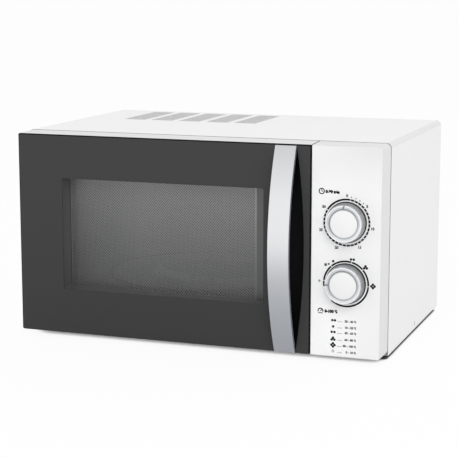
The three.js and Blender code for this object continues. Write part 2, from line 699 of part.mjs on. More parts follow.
// Turns a piece built along +X to each of three directions round the turntable's axis.
function spoke(geometry, angle) {
  return geometry.rotateZ(angle).translate(...at(0));
}
const THIRDS = [0, 1, 2].map((i) => Math.PI / 6 + (i * 2 * Math.PI) / 3);

function turntableCoupler() {
  const z = [FLOOR + 0.8, FLOOR + 13];
  const lobes = THIRDS.map((a) => spoke(block([0, 17], [-3.5, 3.5], z), a));
  const hub = rod("z", 10, z, TURN, 16);
  return cut(join(hub, ...lobes), rod("z", 3.9, [FLOOR, FLOOR + 8], TURN, 16));
}
piece("turntable_coupler", turntableCoupler(), paleNylon);

function glassTray() {
  const [r, z] = [TRAY_RADIUS, TRAY_UNDER];
  const dish = turned("+z", [
    [0, 0], [100, 0], [110, 1], [r - 1, 9], [r, 11.5], [r - 1, 13], [r - 3, 12.5],
    [108, 5], [0, 5],
  ], at(z), 40);
  const lugs = THIRDS.map((a) => {
    const lug = new THREE.CylinderGeometry(3, 3, 6.2, 10).rotateX(Math.PI / 2);
    return spoke(lug.translate(15, 0, z - 2.9), a + Math.PI / 3);
  });
  return join(dish, ...lugs);
}
piece("glass_tray", glassTray(), clearGlass);

function rollerRing() {
  const z = around(ROLLER_Z, 2.5);
  const hub = rod("z", 25, z, TURN, 24);
  const arms = THIRDS.flatMap((a) => [
    spoke(block([22, 86], [-4.5, 4.5], z), a),
    spoke(rod("x", 2, [84, 99], [0, ROLLER_Z], 8), a),
    spoke(rod("x", 3.6, [97, 99.5], [0, ROLLER_Z], 8), a),
  ]);
  return cut(join(hub, ...arms), rod("z", 19.5, beyond(z), TURN, 24));
}
piece("roller_ring", rollerRing(), paleNylon);

THIRDS.forEach((angle, i) => {
  const wheel = [
    [2.4, -4], [6.4, -4], [ROLLER_RADIUS, -3.2], [ROLLER_RADIUS, 3.2], [6.4, 4], [2.4, 4], [2.4, -4],
  ];
  const roller = turned("-x", wheel, [ROLLER_TRACK, 0, ROLLER_Z], 16);
  piece(`roller_${i + 1}`, spoke(roller, angle), paleNylon);
});

export default group;
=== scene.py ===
# %% [markdown]
# # A compact microwave oven
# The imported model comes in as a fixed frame: every part at its real size and place, in metres,
# +X to the right, +Y to the back, +Z up. This lesson gives those parts their finished shapes and
# surfaces. Nothing here moves or resizes the frame; new pieces are fitted to it and ride on its
# bodies, so that the door still swings and the dials still turn.

# %% Load the frame
import json
import math

import bmesh
import bpy
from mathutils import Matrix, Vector

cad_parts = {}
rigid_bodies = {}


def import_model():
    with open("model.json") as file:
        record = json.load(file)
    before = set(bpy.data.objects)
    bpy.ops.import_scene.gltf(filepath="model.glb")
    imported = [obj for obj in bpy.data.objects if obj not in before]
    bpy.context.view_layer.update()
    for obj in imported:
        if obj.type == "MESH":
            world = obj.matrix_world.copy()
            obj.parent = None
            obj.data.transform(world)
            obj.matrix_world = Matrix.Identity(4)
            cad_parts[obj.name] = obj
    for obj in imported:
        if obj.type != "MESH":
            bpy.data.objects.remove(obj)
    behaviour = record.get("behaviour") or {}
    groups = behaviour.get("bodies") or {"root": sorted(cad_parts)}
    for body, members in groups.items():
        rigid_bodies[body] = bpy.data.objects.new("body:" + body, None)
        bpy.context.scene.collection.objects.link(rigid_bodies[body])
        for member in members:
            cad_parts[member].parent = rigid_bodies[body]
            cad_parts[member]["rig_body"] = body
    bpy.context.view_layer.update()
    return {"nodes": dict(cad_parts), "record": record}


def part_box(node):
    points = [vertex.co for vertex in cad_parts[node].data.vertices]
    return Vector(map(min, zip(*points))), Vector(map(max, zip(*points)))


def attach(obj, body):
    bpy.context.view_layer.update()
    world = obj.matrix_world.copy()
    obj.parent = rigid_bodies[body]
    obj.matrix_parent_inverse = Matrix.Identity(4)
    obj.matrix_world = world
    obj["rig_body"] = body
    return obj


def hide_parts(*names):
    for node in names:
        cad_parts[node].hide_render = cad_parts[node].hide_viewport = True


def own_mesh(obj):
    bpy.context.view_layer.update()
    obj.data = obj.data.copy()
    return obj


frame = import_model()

NODES = frame["nodes"]

# %% [markdown]
# ## Camera
# A long lens a little to the oven's right and a little above it keeps the upright edges nearly
# parallel, as a catalogue picture does. The camera is set by where it stands and by two angles.

# %% Camera
CAMERA_AT = (0.6016, -1.6951, 0.4371)
CAMERA_TURN = math.radians(19.68)
CAMERA_DOWN = math.radians(9.93)
CAMERA_LENS = 114.85

camera_data = bpy.data.cameras.new("camera")
camera_data.lens = CAMERA_LENS
camera = bpy.data.objects.new("camera", camera_data)
camera.location = CAMERA_AT
camera.rotation_euler = (math.pi / 2 - CAMERA_DOWN, 0, CAMERA_TURN)
bpy.context.collection.objects.link(camera)
bpy.context.scene.camera = camera
bpy.context.scene.view_settings.view_transform = "Standard"
print("camera looks down", round(math.degrees(CAMERA_DOWN), 1), "degrees")

# %% [markdown]
# ## Dimensions
# The frame gives the planes that many pieces share. The few sizes that belong to the moulded
# details, such as the window and the grip pocket, are written once here, in millimetres.

# %% Dimensions
def mm(*values):
    """Millimetres as metres: one number, or a tuple of them."""
    metres = tuple(value / 1000 for value in values)
    return metres[0] if len(metres) == 1 else metres


def centre_of(node):
    """The middle of a part of the frame."""
    low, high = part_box(node)
    return (low + high) / 2


CABINET_LOW, CABINET_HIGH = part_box("outer_cabinet")
SEAM = CABINET_LOW.y
HALF = CABINET_HIGH.x
TOP = CABINET_HIGH.z
DOOR_LOW, DOOR_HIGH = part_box("door_front")
FACE = DOOR_LOW.y
PANEL_LEFT, _, PANEL_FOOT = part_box("control_panel")[0]
PANEL_RIGHT = HALF - mm(2.1)        # of its flat front
TIMER = centre_of("timer_knob")
POWER = centre_of("power_knob")
WINDOW_X = mm(-166.4, 86.5)
WINDOW_Z = mm(62, 196.7)
GRIP_X = mm(100, 134.6)
GRIP_ENDS = mm(120, 126)
GRIP_Z = mm(13, 244)
GRIP_DEPTH = mm(13.5)
HANDLE_ARCH = mm(14, 242)
WALL = mm(1.5)
PLASTIC = mm(2.5)
CORNER = mm(6)
print("door face at", round(FACE, 4), "cabinet starts at", round(SEAM, 4))

# %% [markdown]
# ## Tools for shaping
# Each piece starts as a primitive at its size and place and is shaped in edit mode. These short
# helpers do what a hand would do: choose faces or edges by where they lie, round them, cut one
# piece out of another, and soften every sharp edge, because no moulded or folded part has a
# perfectly sharp one.

# %% Select, settle and edit
AXES = {"x": 0, "y": 1, "z": 2}


def alone(obj):
    """Makes obj the only selected object, and the active one."""
    bpy.ops.object.select_all(action="DESELECT")
    obj.select_set(True)
    bpy.context.view_layer.objects.active = obj
    return obj


def settle(obj):
    """Moves the object's place, turn and size into its mesh, so that it sits at the origin."""
    alone(obj)
    bpy.ops.object.transform_apply(location=True, rotation=True, scale=True)
    return obj


def modify(obj, kind, **settings):
    """Adds a modifier, sets it and applies it."""
    alone(obj)
    modifier = obj.modifiers.new(kind.lower(), kind)
    for key, value in settings.items():
        setattr(modifier, key, value)
    bpy.ops.object.modifier_apply(modifier=modifier.name)
    return obj


def edit(obj):
    """Opens edit mode on one object and returns its mesh for choosing by place."""
    alone(obj)
    bpy.ops.object.mode_set(mode="EDIT")
    return bmesh.from_edit_mesh(obj.data)


def done():
    bpy.ops.object.mode_set(mode="OBJECT")


print("tools: alone, settle, modify, edit, done")

# %% Choose by place
def middle(element):
    """The middle point of a face, an edge or a vertex."""
    if isinstance(element, bmesh.types.BMFace):
        return element.calc_center_median()
    if isinstance(element, bmesh.types.BMEdge):
        return (element.verts[0].co + element.verts[1].co) / 2
    return element.co


def pick(obj, kind, test):
    """In edit mode, selects the FACE, EDGE or VERT elements whose test is true, and no others."""
    bpy.ops.mesh.select_mode(type=kind)
    bpy.ops.mesh.select_all(action="DESELECT")
    mesh = bmesh.from_edit_mesh(obj.data)
    elements = {"FACE": mesh.faces, "EDGE": mesh.edges, "VERT": mesh.verts}[kind]
    for element in elements:
        if test(element):
            element.select_set(True)
    mesh.select_flush_mode()
    bmesh.update_edit_mesh(obj.data)


def runs_along(edge, axis):
    """True for an edge that is parallel to an axis."""
    step = edge.verts[1].co - edge.verts[0].co
    return abs(step[AXES[axis]]) > 0.999 * step.length


print("tools: middle, pick, runs_along")

# %% Round and smooth
def round_edges(obj, test, radius, segments, **settings):
    """Bevels the edges whose test is true."""
    edit(obj)
    pick(obj, "EDGE", test)
    bpy.ops.mesh.bevel(offset=radius, segments=segments, affect="EDGES", profile=0.5, **settings)
    done()
    return obj


def smooth(obj, angle=35):
    alone(obj)
    bpy.ops.object.shade_smooth_by_angle(angle=math.radians(angle))
    return obj


def soften(obj, width=mm(0.5), segments=3, angle=35):
    """Rounds every edge sharper than angle, and keeps the flats looking flat."""
    modify(
        obj, "BEVEL", width=width, segments=segments,
        limit_method="ANGLE", angle_limit=math.radians(angle), loop_slide=False,
    )
    smooth(obj, angle)
    modify(obj, "WEIGHTED_NORMAL", keep_sharp=True)
    return obj


print("tools: round_edges, smooth, soften")

# %% Blocks and drums
PAST = 0.01         # how far a cutting tool reaches past what it cuts


def primitive(kind, name, **settings):
    """Adds a mesh primitive under a name."""
    bpy.ops.object.select_all(action="DESELECT")
    getattr(bpy.ops.mesh, f"primitive_{kind}_add")(**settings)
    made = bpy.context.object
    made.name = name
    return made


def block(name, low, high):
    """A cube primitive stretched between two corners."""
    low, high = Vector(low), Vector(high)
    made = primitive("cube", name, size=1, location=(low + high) / 2)
    made.scale = high - low
    return settle(made)


def drum(name, axis, radius, ends, centre, vertices=64):
    """A cylinder primitive along an axis; centre gives its other two coordinates in order."""
    turn = {"x": (0, math.pi / 2, 0), "y": (math.pi / 2, 0, 0), "z": (0, 0, 0)}[axis]
    place = list(centre)
    place.insert(AXES[axis], (ends[0] + ends[1]) / 2)
    return settle(primitive(
        "cylinder", name, radius=radius, depth=ends[1] - ends[0], vertices=vertices, location=place,
        rotation=turn,
    ))


def round_off(obj, axis, radius, segments=6, where=lambda point: True):
    """Bevels the sharp edges that run along an axis, so that a block gets round corners."""
    def chosen(edge):
        return runs_along(edge, axis) and edge.calc_face_angle(0) > 0.5 and where(middle(edge))

    return round_edges(obj, chosen, radius, segments)


def rounded_block(name, low, high, axis, radius, segments=6):
    return round_off(block(name, low, high), axis, radius, segments)


print("tools: primitive, block, drum, rounded_block")

# %% Cut, weld and copy
def slice_off(obj, point, normal):
    """Cuts away what lies on the side that normal points to, and closes the cut."""
    edit(obj)
    bpy.ops.mesh.select_all(action="SELECT")
    bpy.ops.mesh.bisect(plane_co=point, plane_no=normal, use_fill=True, clear_outer=True)
    done()
    return obj


def trim(obj, low, high):
    """Keeps what lies between two heights."""
    slice_off(obj, (0, 0, low), (0, 0, -1))
    return slice_off(obj, (0, 0, high), (0, 0, 1))


def boolean(obj, tools, operation):
    for tool in tools:
        modify(obj, "BOOLEAN", object=tool, operation=operation, solver="EXACT")
        if not obj.data.polygons:
            print("nothing left of", obj.name, "after", operation, tool.name)
        bpy.data.objects.remove(tool)
    return obj


def carve(obj, *tools):
    """Cuts the tools out of obj and throws them away."""
    return boolean(obj, tools, "DIFFERENCE")


def weld(obj, *tools):
    """Makes obj and the tools one solid."""
    return boolean(obj, tools, "UNION")


def copied(piece, name, offset):
    """A copy of a piece, with its own mesh, moved by an offset."""
    alone(piece)
    bpy.ops.object.duplicate()
    made = bpy.context.object
    made.name = name
    made.location = offset
    return settle(made)


def together(name, pieces):
    """Joins separate solids into one object, as loose parts of one mesh."""
    alone(pieces[0])
    for piece in pieces[1:]:
        piece.select_set(True)
    bpy.ops.object.join()
    pieces[0].name = name
    return pieces[0]


print("tools: slice_off, trim, carve, weld, copied, together")

# %% [markdown]
# Round parts such as the knobs, the glass tray and the feet are turned: a circle primitive gives
# a closed loop of points, the points move to the part's profile, and spin sweeps it round the
# axis. Where the profile lies on the axis its edge is removed first, so that no faces are left
# inside.

# %% Turned parts
def turned(name, profile, centre, axis=(0, 0, 1), steps=48):
    """Spins (radius, height) points, in millimetres, round an axis through centre."""
    up = Vector(axis)
    out = Vector((1, 0, 0)) if abs(up.x) < 0.9 else Vector((0, 0, 1))
    out = (out - up * out.dot(up)).normalized()
    made = primitive("circle", name, vertices=len(profile), radius=1)
    mesh = edit(made)
    mesh.verts.ensure_lookup_table()
    for vertex, (radius, height) in zip(list(mesh.verts), profile):
        vertex.co = Vector(centre) + out * mm(radius) + up * mm(height)
    bmesh.update_edit_mesh(made.data)

    def on_axis(vertex):
        arm = vertex.co - Vector(centre)
        return (arm - up * arm.dot(up)).length < 1e-7

    pick(made, "EDGE", lambda edge: all(on_axis(v) for v in edge.verts))
    bpy.ops.mesh.delete(type="EDGE")
    bpy.ops.mesh.select_all(action="SELECT")
    bpy.ops.mesh.spin(steps=steps, angle=2 * math.pi, center=centre, axis=axis)
    bpy.ops.mesh.select_all(action="SELECT")
    bpy.ops.mesh.remove_doubles(threshold=1e-6)
    bpy.ops.mesh.normals_make_consistent(inside=False)
    done()
    return made


print("tool: turned")

# %% [markdown]
# Many folded and pressed parts of the frame already have the right shape but razor edges. A copy
# is merged, its flat triangles dissolve into whole faces, and the edges are softened.

# %% Refine a part of the frame
def refine(node, width=mm(0.4), segments=2, angle=35):
    """A softened copy of a CAD part, as a new piece; width 0 leaves its edges alone."""
    made = bpy.data.objects.new("fine_" + node, NODES[node].data.copy())
    bpy.context.collection.objects.link(made)
    alone(made)
    made.data.materials.clear()
    bpy.ops.mesh.customdata_custom_splitnormals_clear()
    edit(made)
    bpy.ops.mesh.select_all(action="SELECT")
    bpy.ops.mesh.remove_doubles(threshold=1e-6)
    bpy.ops.mesh.dissolve_limited(angle_limit=math.radians(0.5))
    done()
    return soften(made, width, segments, angle) if width else smooth(made, angle)


print("tool: refine")

# %% [markdown]
# ## Surfaces
# A real surface is never one flat colour. Paint has a faint orange peel, moulded plastic has a
# fine grain, steel is drawn out in fine lines, edges get rubbed and dust settles on top. Some
# groups also paint light and shade into a colour, as their own comments say. Each effect is a
# small node group, built once; every material then uses it with its own values.

# %% Nodes and groups
def add(tree, kind, sockets=None, **settings):
    """Adds a node, sets its properties, and fills its sockets with values or links."""
    made = tree.nodes.new(kind)
    for key, value in settings.items():
        setattr(made, key, value)
    for key, value in (sockets or {}).items():
        if isinstance(value, bpy.types.NodeSocket):
            tree.links.new(value, made.inputs[key])
        else:
            made.inputs[key].default_value = value
    return made


def new_group(name, inputs, output, kind):
    """A node group: inputs gives each name its value, and there is one output."""
    tree = bpy.data.node_groups.new(name, "ShaderNodeTree")
    for label, value in inputs.items():
        form = {1: "Float", 3: "Vector", 4: "Color"}[len(value) if isinstance(value, tuple) else 1]
        socket = tree.interface.new_socket(label, in_out="INPUT", socket_type="NodeSocket" + form)
        socket.default_value = value
    tree.interface.new_socket(output, in_out="OUTPUT", socket_type="NodeSocket" + kind)
    return tree, add(tree, "NodeGroupInput").outputs, add(tree, "NodeGroupOutput").inputs[0]


def use(tree, group, **sockets):
    """Places a group with its values and returns what it puts out; _ stands for a space."""
    named = {key.replace("_", " "): value for key, value in sockets.items()}
    return add(tree, "ShaderNodeGroup", named, node_tree=group).outputs[0]


print("node tools: add, new_group, use")

# %% Values over a surface
def point_on(tree):
    """The point on the piece being shaded, in metres."""
    return add(tree, "ShaderNodeTexCoord").outputs["Object"]


def parts(tree, vector=None):
    """The X, Y and Z of a vector, or of the point being shaded."""
    return add(tree, "ShaderNodeSeparateXYZ", {0: vector or point_on(tree)}).outputs


def noise(tree, scale, detail=2.0, vector=None):
    sockets = {"Vector": vector or point_on(tree), "Scale": scale, "Detail": detail}
    return add(tree, "ShaderNodeTexNoise", sockets).outputs["Fac"]


def scaled(tree, colour, factor):
    """A colour made lighter or darker by a factor."""
    sockets = {0: colour, "Scale": factor}
    return add(tree, "ShaderNodeVectorMath", sockets, operation="SCALE").outputs[0]


def math_node(tree, operation, *values):
    return add(tree, "ShaderNodeMath", dict(enumerate(values)), operation=operation).outputs[0]


def times(tree, first, *others):
    """The product of several values."""
    for value in others:
        first = math_node(tree, "MULTIPLY", first, value)
    return first


def vector_node(tree, operation, *values):
    made = add(tree, "ShaderNodeVectorMath", dict(enumerate(values)), operation=operation)
    return made.outputs["Value" if operation in ("DOT_PRODUCT", "LENGTH") else "Vector"]


def varied(tree, value, amount, level=1.0):
    """The level, moved up or down by the amount as a value swings round a half."""
    swing = math_node(tree, "SUBTRACT", value, 0.5)
    return math_node(tree, "MULTIPLY_ADD", swing, amount, level)


def ramp(tree, value, low, high, to_low=0.0, to_high=1.0):
    """A smooth step: to_low below low, to_high above high."""
    sockets = {"Value": value, "From Min": low, "From Max": high, "To Min": to_low, "To Max": to_high}
    kind = "ShaderNodeMapRange"
    return add(tree, kind, sockets, interpolation_type="SMOOTHSTEP").outputs["Result"]


def blended(tree, share, first, second):
    """A mix of two colours, by share."""
    sockets = {0: share, 6: first, 7: second}
    return add(tree, "ShaderNodeMix", sockets, data_type="RGBA").outputs[2]


print("node tools: noise, ramp, times, blended and their like")

# %% Tone, smudges and relief
GREY = (0.5, 0.5, 0.5, 1.0)


def colour_effect(name, **inputs):
    """A node group that turns one colour into another."""
    return new_group(name, {"Colour": GREY, **inputs}, "Colour", "Color")


# Slow changes of tone across a surface, as paint and plastic have.
TONE, inputs, output = colour_effect("tone drift", Scale=18.0, Amount=0.03)
factor = varied(TONE, noise(TONE, inputs["Scale"]), inputs["Amount"])
TONE.links.new(scaled(TONE, inputs["Colour"], factor), output)

# Roughness that varies as wiped and handled surfaces do.
SMUDGE, inputs, output = new_group(
    "smudge", {"Roughness": 0.4, "Scale": 35.0, "Amount": 0.1}, "Roughness", "Float",
)
cloud = noise(SMUDGE, inputs["Scale"], 4.0)
SMUDGE.links.new(varied(SMUDGE, cloud, inputs["Amount"], inputs["Roughness"]), output)

# Fine relief: orange peel, moulded grain or brushed lines, by the scale along each axis.
RELIEF, inputs, output = new_group(
    "relief", {"Scales": (700.0, 700.0, 700.0), "Detail": 2.0}, "Height", "Float",
)
stretched = vector_node(RELIEF, "MULTIPLY", point_on(RELIEF), inputs["Scales"])
RELIEF.links.new(noise(RELIEF, 1.0, inputs["Detail"], stretched), output)

print("effects: tone drift, smudge, relief")

# %% Wear and dust
# Edges rubbed to another colour, patchily: wear, and a painted highlight where the rubbed colour is lighter.
RUB_AND_HIGHLIGHT, inputs, output = colour_effect("edge rub and highlight", Rubbed=GREY, Amount=0.5)
rounder = add(RUB_AND_HIGHLIGHT, "ShaderNodeBevel", {"Radius": mm(0.8)}, samples=4).outputs[0]
plain = add(RUB_AND_HIGHLIGHT, "ShaderNodeNewGeometry").outputs["Normal"]
edge = ramp(RUB_AND_HIGHLIGHT, vector_node(RUB_AND_HIGHLIGHT, "DOT_PRODUCT", rounder, plain), 0.995, 0.9)
patchy = ramp(RUB_AND_HIGHLIGHT, noise(RUB_AND_HIGHLIGHT, 160.0, 3.0), 0.35, 0.7)
mask = times(RUB_AND_HIGHLIGHT, edge, patchy, inputs["Amount"])
RUB_AND_HIGHLIGHT.links.new(blended(RUB_AND_HIGHLIGHT, mask, inputs["Colour"], inputs["Rubbed"]), output)

# Dust that settles on what faces up.
DUST, inputs, output = colour_effect("settled dust", Dust=(0.42, 0.4, 0.37, 1.0), Amount=0.2)
upward = parts(DUST, add(DUST, "ShaderNodeNewGeometry").outputs["Normal"])["Z"]
mask = times(DUST, ramp(DUST, upward, 0.5, 0.95), noise(DUST, 90.0, 5.0), inputs["Amount"])
DUST.links.new(blended(DUST, mask, inputs["Colour"], inputs["Dust"]), output)

print("effects: edge rub and highlight, settled dust")

# %% Flakes and lines
# Patches of slightly different tone with crisp borders: zinc spangle, mica flakes.
FLAKES, inputs, output = colour_effect("flakes", Scale=150.0, Amount=0.15)
cells = add(FLAKES, "ShaderNodeTexVoronoi", {"Vector": point_on(FLAKES), "Scale": inputs["Scale"]})
red = add(FLAKES, "ShaderNodeSeparateColor", {0: cells.outputs["Color"]}).outputs[0]
FLAKES.links.new(scaled(FLAKES, inputs["Colour"], varied(FLAKES, red, inputs["Amount"])), output)

# Even lines across one direction: stacked sheets, wound wire.
LINES, inputs, output = new_group("lines", {"Scales": (0.0, 900.0, 0.0)}, "Height", "Float")
along = vector_node(LINES, "DOT_PRODUCT", point_on(LINES), inputs["Scales"])
wave = math_node(LINES, "SINE", times(LINES, along, 2 * math.pi))
LINES.links.new(math_node(LINES, "MULTIPLY_ADD", wave, 0.5, 0.5), output)

print("effects: flakes, lines")

# %% Paint that stops at an edge
# Sheet that is painted before it is cut and folded: bare inside and on its cut edges, in a grey
# dark enough to paint the shade in the vent slots and along the front seam. The rounded corner of
# the sheet is a little darker: painted shade on the curve.
BARE_AND_SHADE, inputs, output = colour_effect("bare edges and painted shade", Bare=GREY)
place = parts(BARE_AND_SHADE)
beside = math_node(BARE_AND_SHADE, "SUBTRACT", math_node(BARE_AND_SHADE, "ABSOLUTE", place["X"]), HALF - CORNER)
above = math_node(BARE_AND_SHADE, "SUBTRACT", place["Z"], TOP - CORNER)
corner = add(BARE_AND_SHADE, "ShaderNodeCombineXYZ", {
    "X": math_node(BARE_AND_SHADE, "MAXIMUM", beside, 0.0), "Y": math_node(BARE_AND_SHADE, "MAXIMUM", above, 0.0),
}).outputs[0]
inner = ramp(BARE_AND_SHADE, vector_node(BARE_AND_SHADE, "LENGTH", corner), CORNER - mm(0.12), CORNER - mm(0.02), 1.0, 0.0)
front = ramp(BARE_AND_SHADE, place["Y"], SEAM + mm(0.02), SEAM + mm(0.12), 1.0, 0.0)
# painted shade: the sheet's rounded corner is made darker
fold_shade = times(BARE_AND_SHADE, ramp(BARE_AND_SHADE, beside, 0.0, mm(1.2)), ramp(BARE_AND_SHADE, above, 0.0, mm(1.2)))
paint = scaled(BARE_AND_SHADE, inputs["Colour"], math_node(BARE_AND_SHADE, "MULTIPLY_ADD", fold_shade, -0.13, 1.0))
mask = math_node(BARE_AND_SHADE, "MAXIMUM", inner, front)
BARE_AND_SHADE.links.new(blended(BARE_AND_SHADE, mask, paint, inputs["Bare"]), output)

print("effect: bare edges and painted shade")

# %% Border and fade
# A darker border round the perforated field of the window's screen. The field is painted lighter
# towards the top, towards the right and at its left edge: painted light, set by how the window's
# recess lights the field.
FIELD_X = mm(-164.6, 69.6)
FIELD_Z = mm(62.6, 196.6)
BORDER_AND_LIGHT, inputs, output = colour_effect("screen border and painted light", Border=GREY)
place = parts(BORDER_AND_LIGHT)
inside = 1.0
for axis, (low, high) in (("X", FIELD_X), ("Z", FIELD_Z)):
    off_centre = math_node(BORDER_AND_LIGHT, "SUBTRACT", place[axis], (low + high) / 2)
    reach = math_node(BORDER_AND_LIGHT, "SUBTRACT", math_node(BORDER_AND_LIGHT, "ABSOLUTE", off_centre), (high - low) / 2)
    inside = times(BORDER_AND_LIGHT, inside, ramp(BORDER_AND_LIGHT, reach, mm(0.8), mm(1.6), 1.0, 0.0))
# painted light: lighter towards the top, towards the right and at the left edge
level = ramp(BORDER_AND_LIGHT, place["Z"], *FIELD_Z, 0.74, 1.12)
across = ramp(BORDER_AND_LIGHT, place["X"], FIELD_X[0], FIELD_X[0] + mm(115), 0.78, 1.0)
edge = ramp(BORDER_AND_LIGHT, place["X"], FIELD_X[0], FIELD_X[0] + mm(16), 1.5, 1.0)
field = scaled(BORDER_AND_LIGHT, inputs["Colour"], times(BORDER_AND_LIGHT, level, across, edge))
BORDER_AND_LIGHT.links.new(blended(BORDER_AND_LIGHT, inside, inputs["Border"], field), output)

# Painted light and shade: a colour that gets lighter or darker in one direction.
PAINTED_LIGHT_FADE, inputs, output = colour_effect("fade", Along=(0.0, 0.0, 1.0), Start=0.0, End=1.0, Low=1.0, High=1.0)
along = vector_node(PAINTED_LIGHT_FADE, "DOT_PRODUCT", point_on(PAINTED_LIGHT_FADE), inputs["Along"])
level = ramp(PAINTED_LIGHT_FADE, along, inputs["Start"], inputs["End"], inputs["Low"], inputs["High"])
PAINTED_LIGHT_FADE.links.new(scaled(PAINTED_LIGHT_FADE, inputs["Colour"], level), output)
print("effects: screen border and painted light, fade; in all", len(bpy.data.node_groups))

# %% [markdown]
# One function makes a finish: the colour goes through tone drift, flakes, rubbed edges, dust and
# the groups that paint light and shade, the roughness through smudges, and relief goes to a bump.
# Values that are the same all over, such as the coat or the index of refraction, are set on the
# shader itself.

# %% Make a finish
FINISHES = {}


def tint(colour):
    """A colour with full alpha; one number makes a grey."""
    return (*colour, 1.0) if isinstance(colour, tuple) else (colour, colour, colour, 1.0)


def finish(name, colour, roughness, metallic=0.0, drift=(18.0, 0.03), smudge=(35.0, 0.08), relief=None,
           lines=None, flakes=None, rub_highlight=None, dust=0.0, cut=None, border=None, painted_fades=(), **plain):
    """Adds a material. relief and lines are (scales, strength), rub is (colour, amount), and plain
    values go to the shader's sockets by name, with _ for a space."""
    material = FINISHES[name] = bpy.data.materials.new(name)
    material.use_nodes = True
    tree = material.node_tree
    shader = tree.nodes["Principled BSDF"]
    shade = use(tree, TONE, Colour=tint(colour), Scale=drift[0], Amount=drift[1])
    if flakes:
        shade = use(tree, FLAKES, Colour=shade, Scale=flakes[0], Amount=flakes[1])
    height = None
    if relief:
        height = use(tree, RELIEF, Scales=relief[0], Detail=3.0)
    if lines:
        height = use(tree, LINES, Scales=lines[0])
        # darker in the low lines: dark joints between stacked sheets, and painted shade between turns of
        # wire
        shade = scaled(tree, shade, ramp(tree, height, 0.0, 0.6, 0.45, 1.0))
    if rub_highlight:
        shade = use(tree, RUB_AND_HIGHLIGHT, Colour=shade, Rubbed=tint(rub_highlight[0]), Amount=rub_highlight[1])
    if dust:
        shade = use(tree, DUST, Colour=shade, Amount=dust)
    if cut:
        shade = use(tree, BARE_AND_SHADE, Colour=shade, Bare=tint(cut))
    if border:
        shade = use(tree, BORDER_AND_LIGHT, Colour=shade, Border=tint(border))
    for spread in painted_fades:
        shade = use(tree, PAINTED_LIGHT_FADE, Colour=shade, **spread)
    tree.links.new(shade, shader.inputs["Base Color"])
    rough = use(tree, SMUDGE, Roughness=roughness, Scale=smudge[0], Amount=smudge[1])
    tree.links.new(rough, shader.inputs["Roughness"])
    shader.inputs["Metallic"].default_value = metallic
    if height is not None:
        strength = (relief or lines)[1]
        bump = add(tree, "ShaderNodeBump", {"Height": height, "Strength": strength, "Distance": mm(0.05)})
        tree.links.new(bump.outputs[0], shader.inputs["Normal"])
    for socket, value in plain.items():
        shader.inputs[socket.replace("_", " ")].default_value = value


def fading(along, start, end, low, high):
    """The values of one painted fade of light and shade: a direction, two places along it, and the tone at
    each.
    """
    return {"Along": along, "Start": start, "End": end, "Low": low, "High": high}


def grain(scale, strength):
    """Relief of the same scale every way."""
    return (scale, scale, scale), strength


# %% Finishes
PEEL = grain(650.0, 0.12)
MOULDED = grain(2600.0, 0.10)
# cut is the bare grey, which also paints the shade in the vent slots and along the front seam
finish("cabinet_paint", 0.865, 0.34, relief=PEEL, drift=(9.0, 0.02), cut=(0.10, 0.10, 0.105),
       Coat_Weight=0.35, Coat_Roughness=0.25)
# white_plastic and panel_sheet are a shaded and a lit copy of one plastic: painted shade on the mouldings'
# sides and top, painted light on the panel's front. The panel's fades paint it lighter towards the handle
# and darker towards the top.
finish("white_plastic", 0.77, 0.42, relief=MOULDED, drift=(12.0, 0.015))
finish("panel_sheet", 0.87, 0.40, relief=MOULDED, drift=(12.0, 0.012), painted_fades=(
    fading((1, 0, 0), mm(146), mm(226), 1.105, 0.99),
    fading((-0.35, 0, 1), mm(112), mm(186), 1.0, 0.855),
))
# its lighter rubbed edges are wear and a painted edge highlight
finish("charcoal_plastic", 0.0435, 0.42, relief=MOULDED, rub_highlight=(0.09, 0.2), Specular_IOR_Level=0.22)
# a lighter copy of the door's charcoal plastic: painted light on the tunnel walls, and lighter still deeper
# in, against the shade of the inner corner
finish("tunnel_plastic", 0.102, 0.45, relief=MOULDED, Specular_IOR_Level=0.3,
       painted_fades=[fading((0, 1, 0), FACE + mm(2), FACE + mm(17), 1.0, 1.2)])
finish("black_plastic", (0.005, 0.005, 0.0053), 0.5, relief=MOULDED, Specular_IOR_Level=0.12)
finish("print_ink", 0.006, 0.6, drift=(400.0, 0.3), Specular_IOR_Level=0.1)
finish("handle_silver", (0.83, 0.84, 0.855), 0.30, metallic=0.95, relief=((1500.0, 1500.0, 14.0), 0.06),
       drift=(25.0, 0.02))
finish("handle_core", (0.16, 0.17, 0.20), 0.40, relief=MOULDED)
# painted shade: the drum's silver darkens towards the panel and lightens towards the front
finish("dial_silver", (0.36, 0.375, 0.385), 0.34, metallic=0.9, relief=MOULDED,
       painted_fades=[fading((0, 1, 0), FACE - mm(4.5), FACE - mm(1.2), 1.4, 0.1)])
# the ring is a paler copy of the slope's finish: a painted highlight on the rim
finish("dial_ring", (0.92, 0.93, 0.945), 0.26, metallic=0.35, relief=MOULDED)
finish("dial_slope", (0.80, 0.81, 0.825), 0.30, metallic=0.35, relief=MOULDED)
finish("knob_white", 0.84, 0.38, relief=MOULDED)
finish("zinc_steel", (0.50, 0.51, 0.52), 0.40, metallic=0.9, flakes=(230.0, 0.10),
       relief=grain(420.0, 0.08), smudge=(60.0, 0.2), dust=0.15)
# dark grey enamel; its darkness also paints the shade seen through the window's holes
finish("cavity_enamel", (0.12, 0.122, 0.12), 0.30, flakes=(900.0, 0.12), relief=PEEL, Coat_Weight=0.3,
       Coat_Roughness=0.12)
